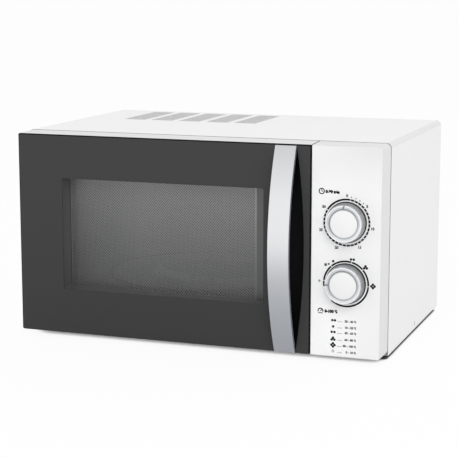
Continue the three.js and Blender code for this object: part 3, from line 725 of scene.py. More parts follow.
# its border group also paints light across the perforated field
finish("screen_steel", 0.325, 0.36, metallic=0.7, border=(0.135, 0.135, 0.136),
       relief=grain(500.0, 0.05), smudge=(25.0, 0.12))
finish("pale_nylon", (0.40, 0.39, 0.365), 0.45, relief=MOULDED)
finish("clear_glass", (0.97, 0.99, 0.985), 0.03, smudge=(20.0, 0.04), Transmission_Weight=1.0, IOR=1.5)
finish("clear_film", 0.9, 0.10, smudge=(14.0, 0.06), Alpha=0.06, IOR=1.4)
finish("mica", (0.50, 0.42, 0.30), 0.45, flakes=(260.0, 0.35), relief=grain(220.0, 0.2),
       Coat_Weight=0.2, Coat_Roughness=0.3)
finish("copper", (0.50, 0.17, 0.06), 0.30, metallic=0.85, lines=((0.0, 0.0, 1050.0), 0.8), dust=0.2,
       Coat_Weight=0.6, Coat_Roughness=0.2)
finish("aluminium", (0.62, 0.63, 0.64), 0.34, metallic=0.95, relief=((60.0, 900.0, 900.0), 0.1), dust=0.2)
finish("laminations", (0.10, 0.10, 0.105), 0.50, metallic=0.5, lines=((0.0, 1000.0, 0.0), 0.8), dust=0.3)
finish("rubber", (0.018, 0.018, 0.019), 0.75, relief=grain(1400.0, 0.25), dust=0.25)
finish("circuit_board", (0.20, 0.13, 0.05), 0.5, flakes=(220.0, 0.5), dust=0.2, Coat_Weight=0.3)
missing = {row["slot"] for row in frame["record"]["materials"]} - set(FINISHES)
print("finishes:", len(FINISHES), "slots without one:", missing or "none")

# %% [markdown]
# ## Dressing a piece
# A finished piece takes a material, by default the one of its slot in the record, rides on a
# body of the frame, and hides the plain part that it stands for.

# %% Dress a piece
BODY_OF = {name: node["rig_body"] for name, node in NODES.items()}
SLOT_OF = {row["node"]: row["material_slot"] for row in frame["record"]["subparts"]}


def dress(piece, node, slot=None, stands_for=True, look=None):
    """Gives a piece a finish, of its look or else of its slot, and the body of a frame part, which it stands
    for if asked.
    """
    slot = slot or SLOT_OF[node]
    piece.data.materials.clear()
    piece.data.materials.append(FINISHES[look or slot])
    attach(piece, BODY_OF[node])
    if stands_for:
        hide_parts(node)
    return piece


for name, node in NODES.items():
    node.data.materials.clear()
    node.data.materials.append(FINISHES[SLOT_OF[name]])
print("every part of the frame has a finish")

# %% [markdown]
# ## Studio
# The oven stands on a pale floor under an even sky and one broad soft light from the front right.
# To the camera, and in mirrors and glass, the sky is plain white. The floor is nearly shadowless
# white too, with a painted dark contact line under the oven: its glow darkens where the oven hides
# the sky in front, and where something hangs just above. Two grey cards lie outside the picture.
# Only reflections see them; the one on the floor gives the silver handle its darker foot.

# %% Sky
SKY = 0.83                  # strength as soft light
OVERHEAD = 0.60             # strength straight up, as mirrors see it

world = bpy.data.worlds.new("studio sky")
bpy.context.scene.world = world
world.use_nodes = True


def seen_directly(tree):
    """1 for rays from the camera, from mirrors and through glass, and 0 for soft light."""
    paths = add(tree, "ShaderNodeLightPath").outputs
    mirrored = math_node(tree, "MAXIMUM", paths["Is Glossy Ray"], paths["Is Transmission Ray"])
    return math_node(tree, "MAXIMUM", paths["Is Camera Ray"], mirrored)


sky = world.node_tree
shares = seen_directly(sky)
sky.nodes["Background"].inputs["Color"].default_value = tint(1.0)
facing = add(sky, "ShaderNodeTexCoord").outputs["Generated"]
seen = ramp(sky, parts(sky, facing)["Z"], 0.2, 0.9, 1.0 - SKY, OVERHEAD - SKY)
strength = math_node(sky, "MULTIPLY_ADD", shares, seen, SKY)
sky.links.new(strength, sky.nodes["Background"].inputs["Strength"])
print("sky:", SKY, "as light")

# %% Floor
FLOOR_SPAN = 80.0
OPEN_SIDE = {"X": -0.27, "Y": -0.92, "Z": 0.28}     # the way a probe looks for open sky
SHADE_REACH = mm(28)        # how far it looks
CONTACT_REACH = mm(9)       # how far the probe looks that finds what hangs just above
DARKEST = 0.03              # of the contact line
PAPER_GLOW = 0.92           # share of the floor that only the camera sees

paper = bpy.data.materials.new("floor_paper")
paper.use_nodes = True
tree = paper.node_tree
towards = add(tree, "ShaderNodeCombineXYZ", OPEN_SIDE).outputs[0]
shades = []
for probe, low, high in (
    ({"Distance": SHADE_REACH, "Normal": towards}, 0.51, 0.605),
    ({"Distance": CONTACT_REACH}, 0.38, 0.66),
):
    open_share = add(tree, "ShaderNodeAmbientOcclusion", probe, samples=32).outputs["AO"]
    shades.append(ramp(tree, open_share, low, high, DARKEST, 1.0))
# the contact line is painted shade in the floor's glow, from the two probes
contact = times(tree, *shades)
glow = add(tree, "ShaderNodeEmission", {"Color": contact}).outputs[0]
matt = add(tree, "ShaderNodeBsdfDiffuse", {"Color": tint(0.93)}).outputs[0]
share = times(tree, seen_directly(tree), PAPER_GLOW)
mixed = add(tree, "ShaderNodeMixShader", {0: share, 1: matt, 2: glow}).outputs[0]
tree.links.new(mixed, tree.nodes["Material Output"].inputs["Surface"])

floor = primitive("plane", "floor", size=FLOOR_SPAN)
floor.data.materials.append(paper)
print("floor:", FLOOR_SPAN, "m wide")

# %% Key light
def softbox(name, place, target, size, watts):
    """A square soft light at a place, aimed at a target."""
    lamp = bpy.data.lights.new(name, "AREA")
    lamp.size = size
    lamp.energy = watts
    light = bpy.data.objects.new(name, lamp)
    light.location = place
    aim = Vector(target) - Vector(place)
    light.rotation_euler = aim.to_track_quat("-Z", "Y").to_euler()
    bpy.context.collection.objects.link(light)
    return light


key = softbox("key_softbox", (1.0, -2.3, 1.8), (0, 0, 0.12), 1.6, 24.0)
key.visible_glossy = False
print("key light:", key.data.energy, "W")

# %% Grey cards
def grey_card(name, low, high, near, far, ends):
    """A card that only mirrors and glass see; its grey runs from near to far between two depths."""
    card = block(name, low, high)
    for ray in ("camera", "diffuse", "transmission", "shadow"):
        setattr(card, "visible_" + ray, False)
    face = bpy.data.materials.new(name + "_face")
    face.use_nodes = True
    tree = face.node_tree
    sockets = {"Value": parts(tree)["Y"], "From Min": ends[0], "From Max": ends[1]}
    along = add(tree, "ShaderNodeMapRange", sockets).outputs["Result"]
    shade = blended(tree, along, tint(far), tint(near))
    dull = add(tree, "ShaderNodeEmission", {"Color": shade}).outputs[0]
    tree.links.new(dull, tree.nodes["Material Output"].inputs["Surface"])
    card.data.materials.append(face)


SIDE_GREY = (0.28, 0.30, 0.31)
grey_card("floor_card", (-1.2, FACE - 0.85, 0), (0.6, FACE + 0.02, 0.001),
          (0.37, 0.385, 0.41), 1.0, (FACE - 0.8, FACE - PAST))
grey_card("side_card", (0.36, -1.0, 0), (0.37, -0.16, 0.5), SIDE_GREY, SIDE_GREY, (-1, 0))
print("two cards for the reflections")

# %% [markdown]
# ## Cabinet
# The cabinet is one sheet of painted steel folded over the chassis. Its folds and vent slots are
# already right in the frame, so a refined copy is enough: it only needs the small round that paint
# gives every cut edge.

# %% Cabinet
cabinet = dress(refine("outer_cabinet", mm(0.12)), "outer_cabinet")
print("cabinet:", len(cabinet.data.polygons), "faces")

# %% [markdown]
# ## Door face
# The dark face of the door is a moulding with a window tunnel. It stops a millimetre short of a
# black backing plate at the top and sides, and this narrow black step frames the door. The plate is
# near black, so the step also paints the shadow of the gap round the face. The plate also holds the
# grip pocket behind the handle. Both sides of the pocket are shallow arcs, so the overlap of two
# very large drums gives its outline, with the ends sliced off. The face rolls softly into the pocket
# with a lip of its own.

# %% Outlines of the door
# width of the near-black step round the face, which paints the shadow of the gap
SHADOW_STEP = mm(1.4)
LIP = mm(3.4)


def pocket(grow, front, back):
    """The grip pocket's outline as a solid, grown evenly by a margin."""
    half = (GRIP_Z[1] - GRIP_Z[0]) / 2
    level = (GRIP_Z[1] + GRIP_Z[0]) / 2
    drums = []
    for side, end in zip(GRIP_X, GRIP_ENDS):
        bulge = side - end
        radius = (half ** 2 + bulge ** 2) / (2 * abs(bulge))
        centre = (side - math.copysign(radius, bulge), level)
        drums.append(drum("pocket", "y", radius + grow, (front, back), centre, vertices=512))
    made = boolean(drums[1], [drums[0]], "INTERSECT")
    return round_off(trim(made, GRIP_Z[0] - grow, GRIP_Z[1] + grow), "y", mm(1.0), 3)


def window_block(name, grow, front, back, radius):
    low = (WINDOW_X[0] - grow, front, WINDOW_Z[0] - grow)
    high = (WINDOW_X[1] + grow, back, WINDOW_Z[1] + grow)
    return rounded_block(name, low, high, "y", radius)


def door_outline(name, step, front, back, radius):
    low = (DOOR_LOW.x + step, front, DOOR_LOW.z + min(step, mm(0.2)))
    high = (DOOR_HIGH.x - step, back, DOOR_HIGH.z - step)
    return rounded_block(name, low, high, "y", radius)


print("outlines: pocket, window, door")

# %% Door face and window tunnel
door_face = door_outline("door_face", SHADOW_STEP, FACE, FACE + mm(1.2), mm(1.6))
weld(door_face, pocket(mm(1.6), FACE + mm(0.6), FACE + LIP))
window_tunnel = window_block("window_tunnel", WALL, FACE + mm(1.2), DOOR_HIGH.y, mm(3.4))
for piece in (door_face, window_tunnel):
    carve(piece, window_block("mouth", 0, FACE - PAST, DOOR_HIGH.y + PAST, mm(2.0)))
soften(window_tunnel, mm(0.2), 2)
dress(window_tunnel, "door_front", look="tunnel_plastic")
carve(door_face, pocket(0, FACE - PAST, FACE + PAST))


def on_pocket_lip(edge):
    """Edges of the pocket's mouth in the front plane, away from the door's own outline."""
    at = middle(edge)
    flat = all(abs(v.co.y - FACE) < 1e-6 for v in edge.verts)
    inside_x = GRIP_X[0] - mm(0.5) < at.x < GRIP_X[1] + mm(0.5)
    return flat and inside_x and GRIP_Z[0] - mm(0.5) < at.z < GRIP_Z[1] + mm(0.5)


round_edges(door_face, on_pocket_lip, mm(1.5), 5, clamp_overlap=True)
soften(door_face, mm(0.35), 3, angle=50)
dress(door_face, "door_front")
print("door face:", len(door_face.data.polygons), "faces, tunnel:", len(window_tunnel.data.polygons))

# %% Grip pocket
grip_pocket = door_outline("grip_pocket", 0, FACE + mm(1.25), FACE + PLASTIC, mm(2.0))
collar = pocket(mm(3.2), FACE + mm(1.4), FACE + LIP + mm(1.8))
trim(collar, DOOR_LOW.z + PLASTIC + mm(0.3), DOOR_HIGH.z - PLASTIC - mm(0.3))
weld(grip_pocket, collar, pocket(WALL, FACE + LIP + mm(1.0), FACE + GRIP_DEPTH + WALL))
carve(
    grip_pocket,
    pocket(mm(1.7), FACE - PAST, FACE + LIP + mm(0.1)),
    pocket(0, FACE - PAST, FACE + GRIP_DEPTH),
    window_block("clearance", WALL + mm(0.1), FACE - PAST, FACE + 0.1, mm(3.5)),
)
weld(grip_pocket, block("spring_seat", (mm(122), FACE + GRIP_DEPTH + mm(0.5), mm(227)),
                        (mm(134), FACE + mm(22), mm(229))))
# the door's right side is a black flange, which paints the shadow of the gap beside the panel
flange = block("flange", (DOOR_HIGH.x - mm(0.7), FACE + mm(1.6), DOOR_LOW.z + mm(0.3)),
               (DOOR_HIGH.x - mm(0.05), SEAM - mm(2), DOOR_HIGH.z - mm(0.1)))
edit(flange)
pick(flange, "VERT", lambda vertex: vertex.co.z > mm(120) and vertex.co.y > FACE + mm(5))
bpy.ops.transform.translate(value=(0, 0, mm(1.0)))
done()
soften(grip_pocket, mm(0.3), 2)
grip_pocket = together("grip_pocket", [grip_pocket, flange])
dress(grip_pocket, "door_front", "black_plastic")
print("pocket:", len(grip_pocket.data.polygons), "faces")

# %% [markdown]
# ## Front mouldings
# The white door rim and the control panel widen slightly from the front to the seam, where they
# nearly meet the cabinet, and their outer corners change from almost sharp to the cabinet's own
# round. A block with rounded edges has the same number of points at both ends, so only its front
# outline is redrawn. A plain block is then cut out from behind. A thin sheet covers the flat front
# of the panel and carries the printed marks; it is a lighter copy of the mouldings' white plastic,
# so painted light makes the front brighter than the shaded sides and top.

# %% Flared blocks
def flared(name, low, high, front_low, front_high, right, radii):
    """A round-cornered block whose front outline is drawn in; right says which side is round."""
    made = block(name, low, high)
    centre = (Vector(low) + Vector(high)) / 2
    round_off(made, "y", radii[1], 8, lambda point: (point.x > centre.x) == right)
    for vertex in made.data.vertices:
        point = vertex.co
        if point.y > centre.y:
            continue
        to_right, upper = point.x > centre.x, point.z > centre.z
        corner = Vector(((low, high)[to_right][0], 0, (low, high)[upper][2]))
        drawn = Vector(((front_low, front_high)[to_right][0], 0, (front_low, front_high)[upper][1]))
        if to_right == right:
            inward = Vector((-1 if to_right else 1, 0, -1 if upper else 1))
            arm = (point - corner - inward * radii[1]) / radii[1]
            drawn = drawn + (inward + arm) * radii[0]
        vertex.co = (drawn.x, point.y, drawn.z)
    return made


def bore_for_shafts(piece):
    for dial in (TIMER, POWER):
        carve(piece, drum("bore", "y", mm(6), (FACE - PAST, FACE + PAST), (dial.x, dial.z)))
    return piece


print("tools: flared, bore_for_shafts")

# %% Control panel
SHEET_RISE = mm(0.04)
control_panel = flared(
    "control_panel_moulding",
    (PANEL_LEFT, FACE, PANEL_FOOT), (HALF - mm(0.2), SEAM - mm(1.3), TOP - mm(0.2)),
    (PANEL_LEFT, DOOR_LOW.z), (PANEL_RIGHT, DOOR_HIGH.z),
    right=True, radii=(mm(1.6), CORNER),
)
carve(control_panel, block(
    "hollow", (PANEL_LEFT + PLASTIC, FACE + PLASTIC, DOOR_LOW.z + PLASTIC),
    (PANEL_RIGHT - PLASTIC, SEAM, DOOR_HIGH.z - PLASTIC),
))
bore_for_shafts(control_panel)
soften(control_panel, mm(0.25), 3)
dress(control_panel, "control_panel")

# the sheet is the lit copy of the mouldings' plastic: painted light on the panel's front
panel_sheet = rounded_block(
    "panel_sheet", (PANEL_LEFT + mm(0.8), FACE - SHEET_RISE, DOOR_LOW.z + mm(0.8)),
    (PANEL_RIGHT - mm(0.2), FACE + mm(0.3), DOOR_HIGH.z - mm(0.4)), "y", mm(1.2), 4,
)
smooth(bore_for_shafts(panel_sheet), 30)
dress(panel_sheet, "control_panel", stands_for=False, look="panel_sheet")
print("panel:", len(control_panel.data.polygons), "faces")

# %% Door rim
RIM_LOW, RIM_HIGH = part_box("door_frame")
PIVOT = Vector(mm(-214, -117, 0))
SWEEP = mm(11.5)
HINGE_HOLES = [             # each end's slot for the tab, boss and bore for the pin, by height
    (mm(240.8, 244.2), mm(244.1, 247.6), mm(244.0, 246.1)),
    (mm(12.8, 16.2), mm(9.2, 12.9), mm(10.7, 13.0)),
]
rim_right = RIM_HIGH.x - mm(0.75)
door_rim = flared(
    "door_rim",
    (RIM_LOW.x, FACE + mm(2.55), RIM_LOW.z), (rim_right, SEAM - mm(1.6), TOP - mm(0.2)),
    (RIM_LOW.x, DOOR_LOW.z), (rim_right, DOOR_HIGH.z),
    right=False, radii=(mm(2), mm(4)),
)
carve(door_rim, block(
    "opening", (RIM_LOW.x + PLASTIC, FACE - PAST, DOOR_LOW.z + PLASTIC),
    (rim_right - PLASTIC, SEAM, DOOR_HIGH.z - PLASTIC),
))
corner_relief = block("relief", (RIM_LOW.x - PAST, PIVOT.y, 0), (PIVOT.x, SEAM, TOP))
carve(corner_relief, drum("sweep", "z", SWEEP, (-PAST, TOP + PAST), PIVOT.xy, 96))
carve(door_rim, corner_relief)
for (low, high), boss, bore in HINGE_HOLES:
    carve(door_rim, block("tab_slot", (RIM_LOW.x - PAST, PIVOT.y - mm(9), low),
                          (RIM_LOW.x + mm(3), SEAM, high)))
    weld(door_rim, drum("boss", "z", mm(5), boss, PIVOT.xy, 32))
    carve(door_rim, drum("bore", "z", mm(2.8), bore, PIVOT.xy, 32))
soften(door_rim, mm(0.3), 2)
dress(door_rim, "door_frame")
print("rim:", len(door_rim.data.polygons), "faces")

# %% [markdown]
# ## Handle
# The handle is a bowed strip with two solid feet. Its outer side is an arc of a large drum that
# just clears the door at both ends. A smaller drum cut from behind leaves the strip and the feet.
# The strip is a dark plastic core with a silver skin on its front, so one more drum parts the two.

# %% Handle
STRIP = mm(5)       # thickness of the bow, skin included
SKIN = mm(1.3)
HANDLE_LOW, HANDLE_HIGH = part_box("door_handle")
handle_end = FACE - mm(1.5)
handle_half = (HANDLE_HIGH.z - HANDLE_LOW.z) / 2
handle_bow = handle_end - HANDLE_LOW.y
arc = (handle_half ** 2 + handle_bow ** 2) / (2 * handle_bow)
arc_centre = (HANDLE_LOW.y + arc, (HANDLE_LOW.z + HANDLE_HIGH.z) / 2)
width = (HANDLE_LOW.x, HANDLE_HIGH.x)
handle = drum("bowed_handle", "x", arc, width, arc_centre, 512)
slice_off(handle, (0, HANDLE_HIGH.y, 0), (0, 1, 0))
trim(handle, HANDLE_LOW.z, HANDLE_HIGH.z)
wider = (width[0] - PAST, width[1] + PAST)
inner = drum("inner", "x", arc - STRIP, wider, arc_centre, 512)
slice_off(inner, (0, FACE + PAST, 0), (0, 1, 0))
carve(handle, trim(inner, *HANDLE_ARCH))
handle_core = copied(handle, "handle_core", (0, 0, 0))
carve(handle, drum("parting", "x", arc - SKIN, wider, arc_centre, 512))
parting = drum("parting", "x", arc - SKIN - mm(0.05), wider, arc_centre, 512)
boolean(handle_core, [parting], "INTERSECT")
soften(handle, mm(0.6), 4, angle=20)
soften(handle_core, mm(0.4), 3, angle=20)
dress(handle, "door_handle")
dress(handle_core, "door_handle", look="handle_core")
print("handle:", len(handle.data.polygons), "faces, core:", len(handle_core.data.polygons))

# %% [markdown]
# ## Perforated screen
# Behind the window lies a steel sheet with thousands of tiny holes in slanting rows. A turned grid
# is trimmed to the sheet; every whole cell inside the perforated field is inset and its middle
# deleted, and the sheet then gets its thickness. Each hole has only four sides, because there are
# so many.

# %% Perforated screen
PITCH = mm(2.545, 2.17)
SLANT = math.radians(49.85)
BRIDGE = mm(0.76)           # steel left between two holes
SCREEN_LOW, SCREEN_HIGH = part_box("door_screen")
cells = math.ceil((SCREEN_HIGH - SCREEN_LOW).length / PITCH[1])
screen = primitive(
    "grid", "perforated_screen", x_subdivisions=cells, y_subdivisions=cells, size=cells,
    location=centre_of("door_screen"), rotation=(math.pi / 2, -SLANT, 0),
)
screen.scale = (*PITCH, 1)
settle(screen)
edit(screen)
for point, normal in (
    (SCREEN_LOW, (-1, 0, 0)), (SCREEN_LOW, (0, 0, -1)), (SCREEN_HIGH, (1, 0, 0)), (SCREEN_HIGH, (0, 0, 1)),
):
    bpy.ops.mesh.select_all(action="SELECT")
    bpy.ops.mesh.bisect(plane_co=point, plane_no=normal, clear_outer=True)


def in_field(face):
    at = face.calc_center_median()
    whole = face.calc_area() > 0.99 * PITCH[0] * PITCH[1]
    return whole and FIELD_X[0] < at.x < FIELD_X[1] and FIELD_Z[0] < at.z < FIELD_Z[1]


pick(screen, "FACE", in_field)
bpy.ops.mesh.inset(thickness=BRIDGE / 2, use_individual=True)
bpy.ops.mesh.delete(type="FACE")
done()
modify(screen, "SOLIDIFY", thickness=SCREEN_HIGH.y - SCREEN_LOW.y, offset=0)
dress(screen, "door_screen")
print("screen:", len(screen.data.polygons), "faces")

# %% [markdown]
# ## Dials
# Each dial is a silver drum that narrows towards the front, with a ring in its front edge that is
# painted brighter than the satin slope inside it, a painted highlight. The slope leads down to a
# flat white cap. The drum's silver is painted darker towards the panel, as painted shade, and a
# thin black skirt under the drum is a painted shadow line on the panel. All five are turned from
# short profiles, in millimetres, and stay separate pieces, because they take different finishes.

# %% Profiles of a dial
DRUM_PROFILE = [
    (3.3, 0.65), (22.3, 0.65), (22.6, 0.95), (22.5, 2.0), (21.6, 9.0), (21.05, 12.4), (20.8, 13.5),
    (20.4, 13.8), (19.4, 13.2), (3.3, 11.0),
]
RING_PROFILE = [
    (18.9, 12.9), (18.9, 14.15), (19.4, 14.4), (19.9, 14.5), (20.4, 14.4), (20.75, 14.0),
    (20.85, 13.5), (20.4, 13.75), (19.4, 13.1),
]
SLOPE_PROFILE = [(16.2, 11.1), (16.2, 12.2), (18.85, 14.1), (18.85, 12.8)]
CAP_PROFILE = [(0, 11.2), (16.1, 11.2), (16.1, 12.2), (15.9, 12.5), (15.5, 12.65), (0, 12.8)]
# a thin black ring round the dial's foot: a painted shadow line on the panel
SHADOW_SKIRT_PROFILE = [(3.4, 0.06), (23.4, 0.06), (23.2, 0.5), (21.0, 0.6), (3.4, 0.6)]


def dial_part(name, base, profile):
    return smooth(turned(name, profile, base, (0, -1, 0), steps=96), 40)


print("profiles: drum, ring, slope, cap, skirt")

# %% Dials
def dial_knob(name, dial, node, notch_turn, notch_lean):
    """The drum, ring, slope, cap and skirt of one dial; a dark pointer lies in a notch of the ring."""
    base = (dial.x, FACE, dial.z)
    side = dial_part(name + "_drum", base, DRUM_PROFILE)
    dress(side, node, "handle_silver", look="dial_silver")
    ring = dial_part(name + "_ring", base, RING_PROFILE)
    tools = [
        block("notch", mm(-0.65, -1.6, -2.6), mm(0.65, 1.6, 2.6)),
        block(name + "_pointer", mm(-0.5, 0.2, -2.4), mm(0.5, 1.2, 2.4)),
    ]
    for made in tools:
        made.rotation_euler = (0, notch_lean, 0)
        settle(made)
        made.location = mm(0, -14.6, 18.9)
        settle(made)
        made.rotation_euler = (0, notch_turn, 0)
        made.location = base
        settle(made)
    notch, pointer = tools
    carve(ring, notch)
    soften(pointer, mm(0.1), 2)
    dress(pointer, node, "handle_silver", stands_for=False, look="handle_core")
    smooth(ring, 40)
    slope = dial_part(name + "_slope", base, SLOPE_PROFILE)
    dress(ring, node, "knob_white", stands_for=False, look="dial_ring")
    dress(slope, node, "knob_white", stands_for=False, look="dial_slope")
    dress(dial_part(name + "_cap", base, CAP_PROFILE), node, "knob_white", stands_for=False)
    dress(dial_part(name + "_shadow_skirt", base, SHADOW_SKIRT_PROFILE), node, "black_plastic", stands_for=False)


dial_knob("timer", TIMER, "timer_knob", 0, math.radians(25))
dial_knob("power", POWER, "power_knob", math.radians(-90), 0)
print("dials turned")

# %% [markdown]
# ## Printed marks
# The scales round the dials are printed on the panel in black ink: a ring broken at each minute
# for the timer, a plain ring for the power, numbers, and dots that stand for more or less power.
# Ink is made as flat pieces a few hundredths of a millimetre thick. A ring is a filled circle
# that is inset, opened in the middle and thickened; faces in its gaps are deleted first.

# %% Ink shapes
INK = SHEET_RISE + mm(0.04)


def inked(made):
    """Thickens a flat shape in the front plane until it sits just in the panel's surface."""
    return modify(made, "SOLIDIFY", thickness=INK + mm(0.02), offset=-1)


def on_panel(centre):
    """The place in the ink's front plane of an (x, z) point in millimetres."""
    return mm(centre[0]), FACE - INK, mm(centre[1])


def disc(centre, radius, vertices=24):
    """A flat filled circle on the panel."""
    return settle(primitive(
        "circle", "disc", vertices=vertices, radius=mm(radius), fill_type="NGON",
        location=on_panel(centre), rotation=(math.pi / 2, 0, 0),
    ))


def dot(centre, radius):
    return inked(disc(centre, radius))


def hoop(centre, inner, outer, keep=lambda degrees: True, steps=720):
    """A printed ring; keep says which clockwise angles from the top have ink."""
    made = disc(centre, outer, steps)
    edit(made)
    bpy.ops.mesh.select_all(action="SELECT")
    bpy.ops.mesh.inset(thickness=mm(outer - inner))
    bpy.ops.mesh.delete(type="FACE")

    def bare(face):
        at = face.calc_center_median()
        turn = math.atan2(at.x - mm(centre[0]), at.z - mm(centre[1]))
        return not keep(math.degrees(turn) % 360)

    pick(made, "FACE", bare)
    bpy.ops.mesh.delete(type="FACE")
    done()
    return inked(made)


def bar(centre, length, width, degrees=0.0):
    """A short printed line, upright unless turned clockwise."""
    made = block("bar", mm(-width / 2, 0, -length / 2), (mm(width / 2), INK + mm(0.02), mm(length / 2)))
    made.rotation_euler = (0, math.radians(degrees), 0)
    made.location = on_panel(centre)
    return settle(made)


def label(words, centre, height, align="CENTER", weight=0.07):
    """Printed figures; height is that of a figure in millimetres, and weight thickens them."""
    bpy.ops.object.select_all(action="DESELECT")
    bpy.ops.object.text_add()
    made = bpy.context.object
    made.data.body = words
    made.data.size = mm(height / 0.72)
    made.data.align_x = align
    made.data.align_y = "CENTER"
    made.data.offset = mm(weight * height)
    made.data.resolution_u = 3
    bpy.ops.object.convert(target="MESH")
    made = bpy.context.object
    made.rotation_euler = (math.pi / 2, 0, 0)
    made.location = on_panel(centre)
    return inked(settle(made))


def round_dial(centre, radius, degrees):
    """The point at a clockwise angle on a circle round a dial."""
    turn = math.radians(degrees)
    return centre[0] + radius * math.sin(turn), centre[1] + radius * math.cos(turn)


print("ink shapes ready")

# %% Groups of marks
MINUTE = 302 / 30           # degrees of the timer's scale
DASH = 8.3                  # degrees of ink in each minute
TIMER_AT = (TIMER.x * 1000 + 0.2, TIMER.z * 1000 - 0.2)
POWER_AT = (POWER.x * 1000 + 0.3, POWER.z * 1000 - 0.3)
GAPS = ((14, 1.2), (47.5, 1.2), (93, 1.2), (240, 20), (275, 1.2), (318, 1.2))   # middle, half width
ONE = [(0, 0)]
PAIR = [(-1.6, 0), (1.6, 0)]
THREE = [(-1.55, -1.0), (1.55, -1.0), (0, 1.25)]
FOUR = [(-1.9, 0), (1.9, 0), (0, 1.9), (0, -1.9)]


def timer_dash(degrees):
    return degrees > 30 * MINUTE or degrees % MINUTE < DASH


def power_arc(degrees):
    return all(abs(degrees - gap) > width for gap, width in GAPS)


def dots(centre, places, radius=1.45):
    return [dot((centre[0] + x, centre[1] + z), radius) for x, z in places]


def flake(centre, size):
    return [bar(centre, size, 0.9, turn) for turn in (0, 60, 120)]


print("marks: dashes, arc, dots, flake")

# %% Scales round the dials
print_work = [
    hoop(TIMER_AT, 25.0, 27.1, timer_dash),
    hoop(POWER_AT, 24.8, 26.8, power_arc),
]
for minutes in (0, 5, 10, 15, 20, 25, 30):
    place = round_dial(TIMER_AT, 30.2 if minutes < 15 else 31.3, minutes * MINUTE)
    print_work.append(label(str(minutes), place, 3.0))
for minutes in (1, 2, 3, 4):
    print_work.append(dot(round_dial(TIMER_AT, 29.3, minutes * MINUTE), 0.62))
print_work += flake(round_dial(POWER_AT, 31.5, 311), 4.0)
print_work += dots(round_dial(POWER_AT, 29.6, 317), ONE, 1.1)
for radius, degrees, places in ((29.3, 329, ONE), (29.3, 14, PAIR), (30.2, 47.5, THREE), (31.2, 91, FOUR)):
    print_work += dots(round_dial(POWER_AT, radius, degrees), places)
print_work.append(hoop(round_dial(POWER_AT, 31.0, 273), 0.5, 1.2, steps=24))
print("marks round the dials:", len(print_work))

# %% Ranges and key
# Clock face and power arc, each with its range.
print_work += [
    hoop((155.2, 197.4), 2.4, 3.6, steps=64), bar((155.2, 198.4), 2.2, 0.9),
    bar((156.1, 197.4), 1.8, 0.9, 90), label("0-30 min", (159.8, 197.0), 3.2, "LEFT", 0.13),
    hoop((155.2, 60.3), 2.3, 3.5, lambda at: at < 115 or at > 245, steps=64),
    bar((155.9, 61.0), 2.8, 1.0, 45), bar((155.2, 57.9), 5.2, 1.0, 90),
    label("0-100 %", (160.2, 60.3), 3.2, "LEFT", 0.13),
]

# Key to the power marks: a symbol, a dotted leader and a share.
ROWS = [
    (50.4, [(2.0, 0)], "20 - 40 %"), (43.2, ONE, "10 - 20 %"), (36.8, PAIR, "40 - 60 %"),
    (28.9, THREE, "60 - 80 %"), (21.7, FOUR, "80 - 100 %"), (14.5, [], "0 - 10 %"),
]
for level, places, words in ROWS:
    print_work += dots((170.3, level), places)
    print_work.append(label(words, (197.0, level - 0.4), 2.5, "RIGHT"))
    for step in range(5):
        print_work.append(dot((175.8 + 1.15 * step, level - 1.2), 0.38))
print_work += flake((169.2, 50.4), 2.9)
print_work.append(hoop((170.3, 14.5), 0.95, 1.5, steps=32))
panel_print = together("panel_print", print_work)
dress(panel_print, "control_panel", "black_plastic", stands_for=False, look="print_ink")
print("print:", len(panel_print.data.polygons), "faces")

# %% [markdown]
# ## Feet and screws
# Four low rubber feet lift the oven off the worktop. Each is turned, with a round lower edge and a
# deep hole for the pan-head screw that holds it. A screw is a turned dome with a cross cut into it.
# One foot is made and copied, and every copy has its own mesh.

# %% Screws
def screw(name, seat, out, radius=3.2, height=0.9):
    """A pan-head screw, in millimetres, that stands on a point and faces along out."""
    r, h = radius, height
    profile = [(0, 0), (r, 0), (r, 0.35 * h), (0.92 * r, 0.7 * h), (0.65 * r, h), (0, h)]
    made = turned(name, profile, seat, out, steps=24)
    up = Vector(out)
    axis = max(range(3), key=lambda i: abs(up[i]))
    first, second = [i for i in range(3) if i != axis]
    for wide, thin in ((first, second), (second, first)):
        half = Vector((0, 0, 0))
        half[wide], half[thin], half[axis] = mm(0.5 * r, 0.11 * r, 0.5 * h)
        centre = Vector(seat) + up * mm(0.85 * h)
        carve(made, block("slot", centre - half, centre + half))
    return smooth(made, 40)


print("tool: screw")

# %% Feet
FEET = [name for name in NODES if name.startswith("foot_")]
FOOT_PROFILE = [
    (0, 2.4), (4.4, 2.4), (4.6, 0.5), (5.1, 0.0), (11.4, 0.0), (12.3, 0.3), (12.8, 1.0), (13.0, 2.0),
    (13.0, 3.6), (12.6, 4.0), (12.6, 4.7), (0, 4.7),
]
foot_middle = centre_of(FEET[0])
start = Vector((foot_middle.x, foot_middle.y, 0))
foot = smooth(turned("foot", FOOT_PROFILE, start), 40)
foot_screw = screw("foot_screw", start + Vector(mm(0, 0, 2.4)), (0, 0, -1), 3.4, 1.2)
for node in FEET:
    offset = centre_of(node) - foot_middle
    dress(copied(foot, "rubber_" + node, offset), node)
    dress(copied(foot_screw, "screw_" + node, offset), "base_plate", "zinc_steel", stands_for=False)
for made in (foot, foot_screw):
    bpy.data.objects.remove(made)
print("feet:", len(FEET))

# %% [markdown]
# ## Back panel
# The back is a plain steel sheet with a round grille for the fan and a hole for the cord's bush.
# A large field is pressed in to stiffen it, and three long beads with soft edges stand up again from
# the field. Pan-head screws hold the sheet at its edges.

